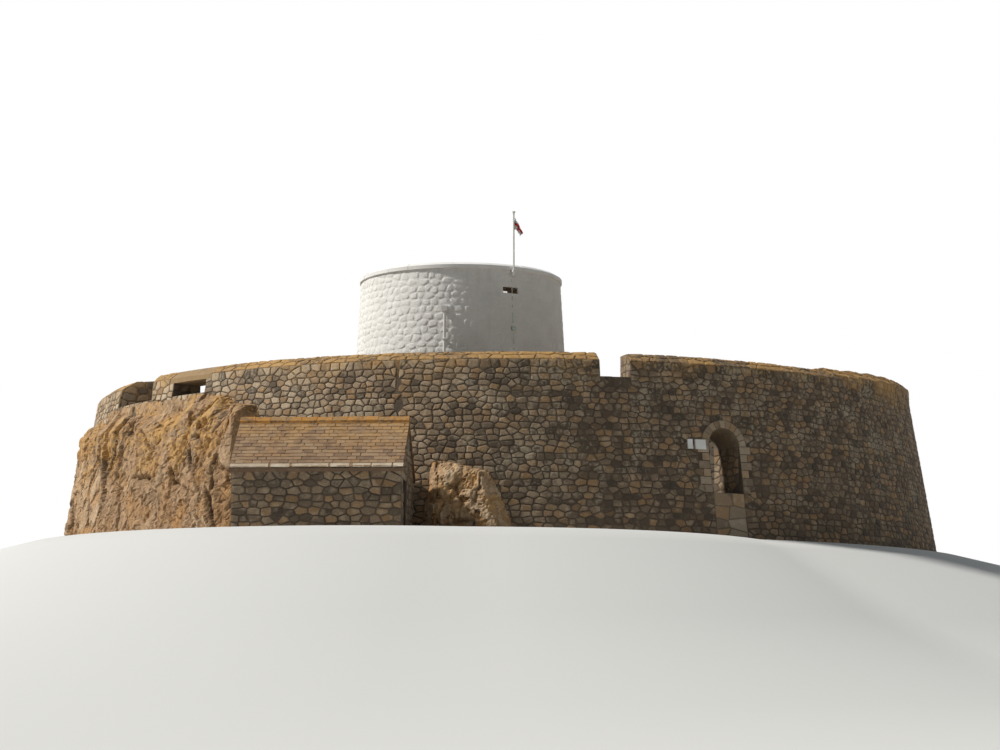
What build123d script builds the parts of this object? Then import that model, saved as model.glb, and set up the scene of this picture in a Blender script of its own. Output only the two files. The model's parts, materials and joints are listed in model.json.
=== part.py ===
from build123d import *
import math
import os

# A white martello tower standing inside a round battery of granite rubble,
# with a small slated outbuilding against the front of the battery and a crag
# of bedrock under its left side. Millimetres, +Z up. The origin is the centre
# of the battery at the foot of its wall. Bearings are in degrees around +Z,
# 0 towards -Y (the front) and 90 towards +X.

# Battery wall: its face leans in by wall_lean between the foot and the edge
# of the crest, and its top then falls outwards from the inside
foot_radius = 17400
crest_height = 6500
wall_lean = 1000
parapet_thickness = 1200
crest_fall = 300
crest_slope_width = 450
raised_course_height = 120
raised_course_rise = 80
raised_course_steps = 8
raised_course_start_bearing = 50.2
raised_course_end_bearing = 99.0

# Ground inside the battery and the gun terrace behind the parapet
court_level = 1650
parapet_height = 1900
terrace_width = 3500
terrace_gap_half_angle = 10.0
terrace_sectors = 5

# Gate
gate_bearing = 30.0
gate_half_angle = 4.5
gate_width = 1250
gate_height = 2300
gate_arch_depth = 280
gate_arch_proud = 40

# Openings in the parapet, their sills measured down from the crest
embrasure_bearing = -54.0
embrasure_spacing_angle = 36.0
embrasure_count = 6
embrasure_mouth = 3000
embrasure_throat = 900
embrasure_depth = 980
slot_bearing = -40.9
slot_width = 1850
slot_height = 500
slot_lintel_seat = 250
notch_bearing = 16.5
notch_width = 1100
notch_depth = 880

# Tower
tower_x = -1760
tower_foot_radius = 4660
tower_lean = 570
room_floor_height = 3350
room_floor_thickness = 250
room_wall_height = 2700
store_radius = 2500
room_radius = 2850
vault_crown_thickness = 800
vault_rise = 1500
vault_courses = 5
tower_parapet_height = 1800
tower_parapet_thickness = 850
tower_sectors = 3
tower_joint_bearing = -60.0
coping_height = 230
coping_overhang = 60
coping_bevel_width = 180
coping_bevel_drop = 90

# Openings in the tower: sills are measured from the floor that they serve,
# and each head rises by a share of the opening's width
loop_bearing = 32.5
loop_width = 700
loop_height = 250
loop_sill = 620
door_bearing = 30.0
door_width = 950
door_height = 1900
door_recess = 450
door_leaf_thickness = 60
window_bearings = (-90.0, 90.0)
window_width = 600
window_height = 750
window_sill = 950
head_rise_share = 1 / 6

# Fittings on the tower
pipe_bearing = -4.6
pipe_diameter = 110
pipe_standoff = 60
pipe_foot_clearance = 250
hopper_size = 240
hopper_height = 200
bracket_count = 5
bracket_height = 40
bracket_margin = 15
pole_bearing = 33.3
pole_diameter = 70
pole_length = 2610
pole_below_rim = 550
pole_standoff = 90
pole_clamp_count = 2
pole_clamp_height = 90
pole_clamp_spacing = 170
pole_clamp_margin = 30
pole_foot_margin = 30
truck_diameter = 130
truck_height = 60
flag_hoist = 800
flag_hang = 440
flag_thickness = 120
flag_below_top = 180
flag_clearance = 0.3
tape_width = 40
tape_thickness = 6
tape_foot_clearance = 350

# Outbuilding, bedded into the foot of the battery at its back corner
house_left = -7700
house_length = 5500
house_depth = 4350
house_bedding = 200
house_wall = 450
house_eave = 1950
house_pitch = 37.5
slab_thickness = 110
eave_overhang = 150
verge_overhang = 70
ridge_width = 360
ridge_thickness = 90
house_door_width = 900
house_door_height = 1650
house_door_from_front = 650

# Bedrock under the left side, and a low outcrop in front: bearings of each
# block's two ends, how far its foot stands out from the battery's foot, the
# lean of its face from upright, the drop from the crest to its top, and how
# far the fall of that top is turned from outwards
crag_blocks = (
    (-84.0, -73.0, 290, 9.0, 1550, -48.0),
    (-73.0, -61.5, 400, 8.0, 1250, -25.0),
    (-61.5, -50.0, 560, 9.5, 1350, 33.0),
    (-50.0, -38.0, 430, 8.0, 1500, -20.0),
    (-38.0, -28.0, 640, 8.5, 1350, 62.0),
    (-6.3, 4.6, 820, 17.0, 4100, 60.0),
)
crag_shoulder_share = 0.86
crag_shoulder_angle = 38.0
crag_corner_angle = 15.0
crag_corner_inset = 0.2
crag_top_angle = 16.0

# How far a cut runs past the faces it goes through
past = 300
full_turn_angle = 360

# Distances worked out from the values above
crest_radius = foot_radius - wall_lean
parapet_inner = crest_radius - parapet_thickness
crest_edge_height = crest_height - crest_fall
terrace_inner = parapet_inner - terrace_width
terrace_level = crest_height - parapet_height
embrasure_sill = crest_height - embrasure_depth
notch_sill = crest_height - notch_depth
gate_spring = court_level + gate_height - gate_width / 2
reach = 2 * foot_radius
room_floor_level = court_level + room_floor_height
vault_springing = room_floor_level + room_wall_height
platform_level = vault_springing + vault_rise + vault_crown_thickness
tower_top = platform_level + tower_parapet_height
coping_bottom = tower_top - coping_height
tower_batter = tower_lean / (tower_top - court_level)
pipe_top = platform_level
pipe_foot = court_level + pipe_foot_clearance
pole_foot = tower_top - pole_below_rim
pole_top = pole_foot + pole_length
tape_foot = court_level + tape_foot_clearance
house_right = house_left + house_length
house_back = house_bedding - foot_radius
house_front = house_back - house_depth
house_ridge_y = (house_front + house_back) / 2
house_slope = math.tan(math.radians(house_pitch))
house_gable_rise = house_depth / 2 * house_slope
slab_rise = slab_thickness / math.cos(math.radians(house_pitch))


def wall_radius(height):
    """Radius of the battered outer face of the battery at a height."""
    return foot_radius - wall_lean * height / crest_edge_height


def tower_radius(height):
    """Radius of the tower's outer face at a height."""
    return tower_foot_radius - tower_batter * (height - court_level)


def turned(bearing):
    """Frame whose +X looks outwards along a bearing from the battery's centre."""
    return Rot(0, 0, bearing - 90)


def at_tower(bearing):
    """Frame whose +X looks outwards along a bearing from the tower's axis."""
    return Pos(tower_x, 0, 0) * turned(bearing)


def section(points):
    """Upright face through points of (distance along X, height)."""
    return Plane.XZ * make_face(Polyline(*points, close=True))


def sector(points, start=0, end=full_turn_angle):
    """Solid swept by a section of (radius, height) points between two bearings."""
    return turned(start) * revolve(section(points), Axis.Z, revolution_arc=end - start)


def ring_section(inner, outer, bottom, top):
    return [(inner, bottom), (outer, bottom), (outer, top), (inner, top)]


def block(x0, x1, y0, y1, z0, z1):
    """Plain block between two corners."""
    size = Box(x1 - x0, y1 - y0, z1 - z0, align=(Align.MIN, Align.MIN, Align.MIN))
    return Pos(x0, y0, z0) * size


def radial_block(inner, outer, width, bottom, top):
    """Block along +X, centred on the X axis."""
    return block(inner, outer, -width / 2, width / 2, bottom, top)


def drum(radius, bottom, top):
    """Plain upright cylinder on the Z axis."""
    align = (Align.CENTER, Align.CENTER, Align.MIN)
    return Pos(0, 0, bottom) * Cylinder(radius, top - bottom, align=align)


def along_x(points, start, length):
    """Solid with a section of (y, height) points, run along X."""
    return Pos(start, 0, 0) * extrude(Plane.YZ * make_face(Polyline(*points, close=True)), length)


def crest_section():
    """Top of the battery wall from its edge inwards, made to shed water."""
    return [
        (crest_radius, crest_edge_height),
        (crest_radius - crest_slope_width, crest_height),
        (parapet_inner, crest_height),
    ]


def wall_section():
    """Section of the battery wall, battered outside."""
    return [(parapet_inner, 0), (foot_radius, 0)] + crest_section()


def parapet_cut(width, bottom):
    """Straight cut through the parapet, open at the top."""
    return radial_block(parapet_inner - past, foot_radius, width, bottom, crest_height + past)


def embrasure_cut():
    """Wedge that widens from the throat inside to the mouth outside."""
    outer = wall_radius(embrasure_sill)
    flare = (embrasure_mouth - embrasure_throat) / 2 / (outer - parapet_inner)
    mouth = embrasure_mouth / 2 + flare * past
    plan = Polyline(
        (parapet_inner - past, -embrasure_throat / 2),
        (parapet_inner, -embrasure_throat / 2),
        (outer + past, -mouth),
        (outer + past, mouth),
        (parapet_inner, embrasure_throat / 2),
        (parapet_inner - past, embrasure_throat / 2),
        close=True,
    )
    return Pos(0, 0, embrasure_sill) * extrude(make_face(plan), embrasure_depth + past)


def rampart():
    """The battery wall in segments, cut by its embrasures, slot and notch."""
    gate_start = gate_bearing - gate_half_angle
    gate_end = gate_bearing + gate_half_angle
    half = embrasure_spacing_angle / 2
    bearings = [embrasure_bearing - i * embrasure_spacing_angle for i in range(embrasure_count)]
    pieces = {}
    for number, bearing in enumerate(bearings, 1):
        wall = sector(wall_section(), bearing - half, bearing + half)
        pieces[f"rampart_embrasure_{number}"] = wall - turned(bearing) * embrasure_cut()
    first_end = embrasure_bearing + half
    front_middle = (first_end + notch_bearing) / 2
    last = bearings[-1] - half + full_turn_angle
    right_middle = (gate_end + last) / 2
    for name, start, end in (
        ("rampart_front_left", first_end, front_middle),
        ("rampart_front_notch", front_middle, gate_start),
        ("rampart_front_right", gate_end, right_middle),
        ("rampart_right", right_middle, last),
    ):
        pieces[name] = sector(wall_section(), start, end)
    slot = parapet_cut(slot_width, embrasure_sill)
    lintel_seat = parapet_cut(slot_width + 2 * slot_lintel_seat, embrasure_sill + slot_height)
    pieces["rampart_embrasure_1"] -= turned(slot_bearing) * (slot + lintel_seat)
    pieces["slot_lintel"] = sector(wall_section(), first_end - half, first_end) & (
        turned(slot_bearing) * lintel_seat
    )
    pieces["rampart_front_notch"] -= turned(notch_bearing) * parapet_cut(notch_width, notch_sill)
    return pieces


def raised_course():
    """Courses that raise the right part of the crest in low steps."""
    course = []
    sweep = (raised_course_end_bearing - raised_course_start_bearing) / raised_course_steps
    for i in range(raised_course_steps):
        lift = raised_course_height + i * raised_course_rise
        start = raised_course_start_bearing + i * sweep
        low = crest_section()
        high = [(radius, height + lift) for radius, height in reversed(low)]
        course.append(sector(low + high, start, start + sweep))
    return course[0] + course[1:]


def arch_core(radius):
    """Round bar through the gate at the arch's springing, along +X."""
    align = (Align.CENTER, Align.CENTER, Align.MIN)
    return Pos(0, 0, gate_spring) * Rot(0, 90, 0) * Cylinder(radius, reach, align=align)


def gate():
    """Piers, threshold, arch ring and the wall over it."""
    start = gate_bearing - gate_half_angle
    end = gate_bearing + gate_half_angle
    wall = sector(wall_section(), start, end)
    place = turned(gate_bearing)
    low = place * radial_block(0, reach, reach, 0, gate_spring)
    high = place * radial_block(0, reach, reach, gate_spring, crest_height)
    way = place * radial_block(0, reach, gate_width, 0, gate_spring)
    sill = place * radial_block(0, reach, gate_width, 0, court_level)
    piers = (wall & low) - way
    left, right = sorted(piers.solids(), key=lambda pier: pier.center().X)
    arch_radius = gate_width / 2 + gate_arch_depth
    ring = place * (arch_core(arch_radius) - arch_core(gate_width / 2))
    proud_section = [
        (parapet_inner, gate_spring),
        (wall_radius(gate_spring) + gate_arch_proud, gate_spring),
        (wall_radius(crest_edge_height) + gate_arch_proud, crest_edge_height),
        (parapet_inner, crest_edge_height),
    ]
    return {
        "gate_pier_left": left,
        "gate_pier_right": right,
        "gate_threshold": wall & sill,
        "gate_arch": sector(proud_section, start, end) & ring,
        "gate_head_wall": (wall & high) - place * arch_core(arch_radius),
    }


def terrace():
    """Gun terrace behind the parapet, open behind the gate."""
    points = ring_section(terrace_inner, parapet_inner, court_level, terrace_level)
    start = gate_bearing + terrace_gap_half_angle
    sweep = (full_turn_angle - 2 * terrace_gap_half_angle) / terrace_sectors
    return {
        f"terrace_{i + 1}": sector(points, start + i * sweep, start + (i + 1) * sweep)
        for i in range(terrace_sectors)
    }


def headed_opening(width, height, sill):
    """Opening with a low curved head, along +X, longer than the drum's radius."""
    rise = width * head_rise_share
    radius = (width**2 / 4 + rise**2) / (2 * rise)
    spring = sill + height - rise
    outline = [
        Line((-width / 2, sill), (width / 2, sill)),
        Line((width / 2, sill), (width / 2, spring)),
        RadiusArc((width / 2, spring), (-width / 2, spring), -radius),
        Line((-width / 2, spring), (-width / 2, sill)),
    ]
    return extrude(Plane.YZ * make_face(outline), tower_foot_radius + past)


def tower_sector(points, first_joint, number):
    """One of the equal lengths that the drum is divided into."""
    sweep = full_turn_angle / tower_sectors
    start = first_joint + number * sweep
    return Pos(tower_x, 0, 0) * sector(points, start, start + sweep)


def doorway():
    return at_tower(door_bearing) * headed_opening(door_width, door_height, room_floor_level)


def tower_walls():
    """The drum in segments, with a ledge inside that carries the upper floor."""
    ledge = room_floor_level - room_floor_thickness
    points = [
        (store_radius, court_level),
        (tower_radius(court_level), court_level),
        (tower_radius(vault_springing), vault_springing),
        (room_radius, vault_springing),
        (room_radius, ledge),
        (store_radius, ledge),
    ]
    window = headed_opening(window_width, window_height, room_floor_level + window_sill)
    cuts = [doorway()] + [at_tower(bearing) * window for bearing in window_bearings]
    pieces = {}
    for i in range(tower_sectors):
        pieces[f"tower_wall_{i + 1}"] = tower_sector(points, tower_joint_bearing, i) - cuts
    return pieces


def tower_door():
    """Plank door standing in its recess."""
    outer = tower_radius(room_floor_level + door_height) - door_recess
    size = (outer - door_leaf_thickness, outer, 2 * door_width, room_floor_level, tower_top)
    return doorway() & at_tower(door_bearing) * radial_block(*size)


def tower_floor():
    bottom = room_floor_level - room_floor_thickness
    return Pos(tower_x, 0, 0) * drum(room_radius, bottom, room_floor_level)


def vault_curve():
    """Points up the inside of the vault, one for each course of stones."""
    radius = (room_radius**2 + vault_rise**2) / (2 * vault_rise)
    spread = math.asin(room_radius / radius)
    centre = vault_springing + vault_rise - radius
    angles = [spread * (1 - i / vault_courses) for i in range(vault_courses + 1)]
    return [(radius * math.sin(a), centre + radius * math.cos(a)) for a in angles]


def tower_vault():
    """Domed vault, laid in courses, that carries the gun platform."""
    points = [
        (0, platform_level),
        (tower_radius(platform_level), platform_level),
        (tower_radius(vault_springing), vault_springing),
    ]
    return Pos(tower_x, 0, 0) * sector(points + vault_curve())


def tower_parapet():
    """Parapet of the gun platform in segments that meet at its loops."""
    inner = tower_radius(coping_bottom) - tower_parapet_thickness
    points = [
        (inner, platform_level),
        (tower_radius(platform_level), platform_level),
        (tower_radius(coping_bottom), coping_bottom),
        (inner, coping_bottom),
    ]
    bottom = platform_level + loop_sill
    loop = radial_block(0, tower_foot_radius, loop_width, bottom, bottom + loop_height)
    sweep = full_turn_angle / tower_sectors
    cuts = [at_tower(loop_bearing + i * sweep) * loop for i in range(tower_sectors)]
    return {
        f"tower_parapet_{i + 1}": tower_sector(points, loop_bearing, i) - cuts
        for i in range(tower_sectors)
    }


def tower_coping():
    """Bevelled coping round the tower's rim."""
    outer = tower_radius(coping_bottom) + coping_overhang
    points = [
        (outer - coping_overhang - tower_parapet_thickness, coping_bottom),
        (outer, coping_bottom),
        (outer, tower_top - coping_bevel_drop),
        (outer - coping_bevel_width, tower_top),
        (outer - coping_overhang - tower_parapet_thickness, tower_top),
    ]
    return Pos(tower_x, 0, 0) * sector(points)


def tower_form():
    """The whole outer form of the tower below its coping, about the Z axis."""
    points = [
        (0, court_level),
        (tower_radius(court_level), court_level),
        (tower_radius(coping_bottom), coping_bottom),
        (0, coping_bottom),
    ]
    return sector(points)


def downpipe():
    """Rainwater pipe from the gun platform, with a hopper head and brackets."""
    slope = math.atan(tower_batter)
    length = (pipe_top - pipe_foot) / math.cos(slope)
    axis = tower_radius(pipe_foot) + pipe_standoff + pipe_diameter / 2
    pipe = drum(pipe_diameter / 2, 0, length)
    fitting = Pos(axis, 0, pipe_foot) * Rot(0, -math.degrees(slope), 0) * pipe
    hopper_bottom = pipe_top - hopper_height
    hopper_face = tower_radius(hopper_bottom) + hopper_size
    fitting += radial_block(0, hopper_face, hopper_size, hopper_bottom, pipe_top)
    spacing = (pipe_top - pipe_foot) / (bracket_count + 1)
    for i in range(1, bracket_count + 1):
        low = pipe_foot + i * spacing
        face = tower_radius(low) + pipe_standoff + pipe_diameter + bracket_margin
        width = pipe_diameter + 2 * bracket_margin
        fitting += radial_block(0, face, width, low, low + bracket_height)
    return at_tower(pipe_bearing) * (fitting - tower_form())


def pole_axis():
    """Distance of the flagpole's axis from the tower's, clear of the coping."""
    rim = tower_radius(coping_bottom) + coping_overhang
    return rim + pole_standoff + pole_diameter / 2


def flagpole():
    """Pole held outside the parapet by two clamps, with a truck on top."""
    pole = drum(pole_diameter / 2, pole_foot, pole_top)
    pole += drum(truck_diameter / 2, pole_top, pole_top + truck_height)
    pole = Pos(pole_axis(), 0, 0) * pole
    face = pole_axis() + pole_diameter / 2 + pole_clamp_margin
    width = pole_diameter + 2 * pole_clamp_margin
    for i in range(pole_clamp_count):
        low = pole_foot + pole_foot_margin + i * pole_clamp_spacing
        clamp = radial_block(0, face, width, low, low + pole_clamp_height)
        pole += clamp - tower_form()
    return at_tower(pole_bearing) * pole


def flag():
    """Flag hanging slack from the pole, as a plain thick panel."""
    top = pole_top - flag_below_top
    half = flag_thickness / 2
    start = pole_diameter / 2 + flag_clearance
    cloth = block(start, start + flag_hang, -half, half, top - flag_hoist, top)
    pole_place = at_tower(pole_bearing) * Pos(pole_axis(), 0, 0)
    return Pos(*pole_place.position) * cloth


def lightning_tape():
    """Flat earth tape down the drum under the flagpole."""
    top = pole_foot + pole_foot_margin
    points = [
        (tower_radius(tape_foot), tape_foot),
        (tower_radius(tape_foot) + tape_thickness, tape_foot),
        (tower_radius(top) + tape_thickness, top),
        (tower_radius(top), top),
    ]
    half = math.degrees(tape_width / 2 / tower_foot_radius)
    return Pos(tower_x, 0, 0) * sector(points, pole_bearing - half, pole_bearing + half)


def gable(start):
    """Gable wall of the outbuilding, one wall's thickness along X."""
    points = [
        (house_front, 0),
        (house_back, 0),
        (house_back, house_eave),
        (house_ridge_y, house_eave + house_gable_rise),
        (house_front, house_eave),
    ]
    return along_x(points, start, house_wall)


def long_wall(outer, side):
    """Long wall of the outbuilding between the gables, its top cut to the slope."""
    inner = outer + side * house_wall
    inner_top = house_eave + house_wall * house_slope
    points = [(outer, 0), (inner, 0), (inner, inner_top), (outer, house_eave)]
    return along_x(points, house_left + house_wall, house_length - 2 * house_wall)


def roof_slope(side):
    """One slope of the outbuilding's roof, side -1 in front and 1 behind."""
    eave_y = house_ridge_y + side * (house_depth / 2 + eave_overhang)
    eave_z = house_eave - eave_overhang * house_slope
    ridge_z = house_eave + house_gable_rise
    points = [
        (eave_y, eave_z),
        (house_ridge_y, ridge_z),
        (house_ridge_y, ridge_z + slab_rise),
        (eave_y, eave_z + slab_rise),
    ]
    return along_x(points, house_left - verge_overhang, house_length + 2 * verge_overhang)


def ridge_stones():
    """Ridge stones bedded over the joint of the two slopes."""
    peak = house_eave + house_gable_rise + slab_rise
    half = ridge_width / 2
    edge = peak - half * house_slope
    rise = ridge_thickness / math.cos(math.radians(house_pitch))
    points = [
        (house_ridge_y - half, edge),
        (house_ridge_y, peak),
        (house_ridge_y + half, edge),
        (house_ridge_y + half, edge + rise),
        (house_ridge_y, peak + rise),
        (house_ridge_y - half, edge + rise),
    ]
    return along_x(points, house_left - verge_overhang, house_length + 2 * verge_overhang)


def outbuilding():
    """Walls, gables and roof; the back corner is built up to the battery."""
    door_start = house_front + house_door_from_front
    door_end = door_start + house_door_width
    inner_right = house_right - house_wall
    way_in = block(
        inner_right - past, house_right + past, door_start, door_end, -past, house_door_height
    )
    battery = sector(wall_section(), -90, 90)
    return {
        "house_front_wall": long_wall(house_front, 1),
        "house_back_wall": long_wall(house_back, -1) - battery,
        "house_left_gable": gable(house_left),
        "house_right_gable": gable(inner_right) - way_in - battery,
        "house_roof_front": roof_slope(-1),
        "house_roof_back": roof_slope(1),
        "house_ridge": ridge_stones(),
    }


def behind_facet(rock, point, turn, lean):
    """What is left of a rock behind a facet turned about Z and leaning back."""
    normal = Vector(1, 0, 0).rotate(Axis.Y, -lean).rotate(Axis.Z, turn)
    return split(rock, bisect_by=Plane(point, z_dir=normal), keep=Keep.BOTTOM)


def crag_block(start, end, foot_out, lean, drop, top_turn):
    """Faceted mass of bedrock against the foot of the wall, between two bearings."""
    outer = foot_radius + foot_out
    top = crest_height - drop
    shoulder = top * crag_shoulder_share
    half = outer * math.tan(math.radians(end - start) / 2)
    corner = half * (1 - 2 * crag_corner_inset)
    points = ring_section(parapet_inner, outer + past, 0, crest_height)
    rock = revolve(section(points), Axis.Z, revolution_arc=end - start)
    rock = Rot(0, 0, (start - end) / 2) * rock
    facets = [
        ((outer, 0, 0), 0, lean),
        ((outer, corner, 0), crag_corner_angle, lean),
        ((outer, -corner, 0), -crag_corner_angle, lean),
        ((outer - shoulder * math.tan(math.radians(lean)), 0, shoulder), 0, crag_shoulder_angle),
        ((wall_radius(top), 0, top), top_turn, 90 - crag_top_angle),
    ]
    for point, turn, facet_lean in facets:
        rock = behind_facet(rock, point, turn, facet_lean)
    return turned((start + end) / 2) * rock - sector(wall_section(), start, end)


def crag():
    return {f"crag_{i + 1}": crag_block(*values) for i, values in enumerate(crag_blocks)}


def court_floor():
    """Ground inside the battery, out to the inner face of its wall."""
    return drum(parapet_inner, 0, court_level)


pieces = {
    **rampart(),
    "raised_course": raised_course(),
    **gate(),
    **terrace(),
    "court_floor": court_floor(),
    **tower_walls(),
    "tower_floor": tower_floor(),
    "tower_door": tower_door(),
    "tower_vault": tower_vault(),
    **tower_parapet(),
    "tower_coping": tower_coping(),
    "downpipe": downpipe(),
    "flagpole": flagpole(),
    "flag": flag(),
    "lightning_tape": lightning_tape(),
    **outbuilding(),
    **crag(),
}

os.makedirs("parts", exist_ok=True)
for name, piece in pieces.items():
    (solid,) = piece.solids()
    solid.label = name
    export_step(solid, f"parts/{name}.step")
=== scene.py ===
# %% [markdown]
# The object is a white round tower that stands inside a round battery of
# granite rubble. Its solid model is already made, in metres, with the origin
# at the centre of the battery at the foot of its wall. This script keeps that
# model as its frame and dresses it: stones on the walls, slates on the
# outbuilding's roof, cloth on the flagpole, and a finish on every surface.

import json
import math
import random

import bpy
from mathutils import Matrix, Vector, noise
from mathutils.bvhtree import BVHTree
from mathutils.kdtree import KDTree


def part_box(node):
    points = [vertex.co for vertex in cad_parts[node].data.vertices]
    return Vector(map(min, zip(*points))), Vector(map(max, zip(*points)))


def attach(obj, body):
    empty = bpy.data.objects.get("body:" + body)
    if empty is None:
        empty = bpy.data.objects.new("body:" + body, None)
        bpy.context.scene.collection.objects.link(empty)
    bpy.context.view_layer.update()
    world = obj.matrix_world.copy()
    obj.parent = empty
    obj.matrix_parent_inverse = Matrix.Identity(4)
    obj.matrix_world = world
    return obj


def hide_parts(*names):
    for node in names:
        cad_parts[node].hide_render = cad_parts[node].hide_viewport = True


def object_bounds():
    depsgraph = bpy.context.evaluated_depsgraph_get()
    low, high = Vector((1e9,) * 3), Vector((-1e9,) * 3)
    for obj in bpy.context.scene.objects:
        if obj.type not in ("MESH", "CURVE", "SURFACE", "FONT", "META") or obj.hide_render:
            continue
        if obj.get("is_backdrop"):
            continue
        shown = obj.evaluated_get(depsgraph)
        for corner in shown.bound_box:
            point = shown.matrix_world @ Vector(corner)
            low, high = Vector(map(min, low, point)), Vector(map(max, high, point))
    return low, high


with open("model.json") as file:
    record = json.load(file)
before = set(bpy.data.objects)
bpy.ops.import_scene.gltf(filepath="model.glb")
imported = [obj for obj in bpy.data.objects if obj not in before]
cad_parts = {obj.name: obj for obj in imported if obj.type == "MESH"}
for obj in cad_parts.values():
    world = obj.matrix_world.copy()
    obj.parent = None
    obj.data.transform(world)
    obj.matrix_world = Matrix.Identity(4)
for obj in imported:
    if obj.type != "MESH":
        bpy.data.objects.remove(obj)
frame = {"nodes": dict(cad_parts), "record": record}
nodes = frame["nodes"]
solid_low, solid_high = (Vector(corner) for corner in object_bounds())
print("nodes", len(nodes), "box", solid_low, solid_high)

# %% [markdown]
# The photograph was taken from about a hundred metres away and a little below
# the foot of the wall, with the camera level. The battery fills only a third
# of that picture, so the same viewpoint is kept with a longer lens, which is
# turned towards the middle of the object. Only the crop changes.

# %% Camera
viewpoint = Vector((5.08, -100.4, -5.5))
photo_lens = 37.8
zoom = 2.35
aim = Vector((-0.052, 1.0, 0.1325))

camera_data = bpy.data.cameras.new("camera")
camera_data.sensor_width = 36.0
camera_data.lens = photo_lens * zoom
camera_data.clip_start, camera_data.clip_end = 1.0, 1000.0
camera = bpy.data.objects.new("camera", camera_data)
camera.location = viewpoint
camera.rotation_euler = aim.to_track_quat("-Z", "Y").to_euler()
bpy.context.scene.collection.objects.link(camera)
bpy.context.scene.camera = camera
print("lens", round(camera_data.lens, 1))

# %% [markdown]
# A mesh from plain lists of points and faces is the base of most pieces here.
# One helper makes it and gives it a material, and another fixes it to the
# frame. The whole building is one body, which the frame calls root.


# %% Make and fasten a piece
def new_object(name, points, faces, material=None, smooth=False):
    """Mesh object from points and faces, at the origin."""
    mesh = bpy.data.meshes.new(name)
    mesh.from_pydata([tuple(p) for p in points], [], faces)
    mesh.polygons.foreach_set("use_smooth", [smooth] * len(mesh.polygons))
    if material is not None:
        mesh.materials.append(material)
    mesh.update()
    made = bpy.data.objects.new(name, mesh)
    bpy.context.scene.collection.objects.link(made)
    return made


triangles_made = []


def fasten(piece, slot):
    """Fix a piece to the building and count its triangles; its slot is not used."""
    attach(piece, "root")
    triangles = sum(len(face.vertices) - 2 for face in piece.data.polygons)
    triangles_made.append(triangles)
    print(piece.name, "triangles", triangles)
    return piece


# %% [markdown]
# The floor is a plain pale stage. The viewpoint is lower than the foot of the
# wall, so a flat floor at that height would be seen from below. The stage is
# a low smooth mound instead: it is level under the object and falls away just
# outside it. Its colour is plain, and it isn't part of the object.

# %% Stage
stage_profile = ((0.0, 0.0), (0.8, -0.02), (2.5, -0.45), (8.0, -2.9), (16.0, -5.6))
stage_far = ((28.0, -6.9), (60.0, -7.2), (420.0, -7.2))


def stage_outline(count=128, margin=0.35):
    """Points just outside the battery's foot and the outbuilding."""
    low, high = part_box("house_front_wall")
    corners = [(low.x - 0.9, low.y), (high.x + 0.6, low.y)]
    around = []
    for i in range(count):
        way = Vector((math.cos(2 * math.pi * i / count), math.sin(2 * math.pi * i / count)))
        reach = [solid_high.x] + [x * way.x + y * way.y for x, y in corners]
        around.append(way * (max(reach) + margin))
    return around


def make_stage():
    outline = stage_outline()
    points, faces = [(0.0, 0.0, 0.0)], []
    rings = stage_profile + stage_far
    count = len(outline)
    for out, height in rings:
        points += [(*(p + p.normalized() * out), height) for p in outline]
    for i in range(count):
        faces.append((0, 1 + i, 1 + (i + 1) % count))
    for r in range(len(rings) - 1):
        for i in range(count):
            a, b = 1 + r * count + i, 1 + r * count + (i + 1) % count
            faces.append((a, a + count, b + count, b))
    made = new_object("stage", points, faces, smooth=True)
    made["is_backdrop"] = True
    return made


stage = make_stage()
print("stage points", len(stage.data.vertices))

# %% [markdown]
# Shaders are built from small node groups, so that one effect, such as lichen
# or grain, is made once and used by many finishes with other values. These
# helpers add a node, open a new group and give a socket its value, which may
# be the output of another node or a plain number.


# %% Node helpers
def add(tree, kind, inputs=None, **settings):
    """New node, with its settings and the values of its named inputs."""
    made = tree.nodes.new(kind)
    for name, value in settings.items():
        setattr(made, name, value)
    for name, value in (inputs or {}).items():
        made.inputs[name].default_value = value
    return made


def open_group(name, kind, inputs, outputs):
    """Node group with named sockets; returns the tree and its two ends."""
    tree = bpy.data.node_groups.new(name, kind)
    for direction, sockets in (("INPUT", inputs), ("OUTPUT", outputs)):
        for label, socket, *value in sockets:
            made = tree.interface.new_socket(label, in_out=direction, socket_type=socket)
            if value:
                made.default_value = value[0]
    return tree, tree.nodes.new("NodeGroupInput"), tree.nodes.new("NodeGroupOutput")


def feed(tree, value, socket):
    """Give a socket another socket's output or a plain value."""
    if isinstance(value, bpy.types.NodeSocket):
        tree.links.new(value, socket)
    else:
        socket.default_value = value


colour, number = "NodeSocketColor", "NodeSocketFloat"
print("socket kinds", colour, number)

# %% [markdown]
# Inside a group, colours are mixed and numbers are worked out, so both get a
# helper that returns the result's socket. Noise is read over the object's own
# coordinates: the pattern then stays on the surface in every view, and keeps
# its size in metres.


# %% Colours, numbers and noise
def mixed(tree, factor, first, second):
    """Colour mix of two sockets or colours; returns the result socket."""
    mix = add(tree, "ShaderNodeMix", data_type="RGBA")
    for place, value in ((0, factor), (6, first), (7, second)):
        feed(tree, value, mix.inputs[place])
    return mix.outputs[2]


def maths(tree, operation, *values, clamp=False):
    """Sum, product and so on of sockets or numbers; returns the result socket."""
    made = add(tree, "ShaderNodeMath", operation=operation, use_clamp=clamp)
    for socket, value in zip(made.inputs, values):
        feed(tree, value, socket)
    return made.outputs[0]


def ranged(tree, value, low, high):
    """A value's place between low and high, as a smooth step from 0 to 1."""
    made = add(tree, "ShaderNodeMapRange", interpolation_type="SMOOTHSTEP")
    for name, given in (("Value", value), ("From Min", low), ("From Max", high)):
        feed(tree, given, made.inputs[name])
    return made.outputs["Result"]


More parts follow.
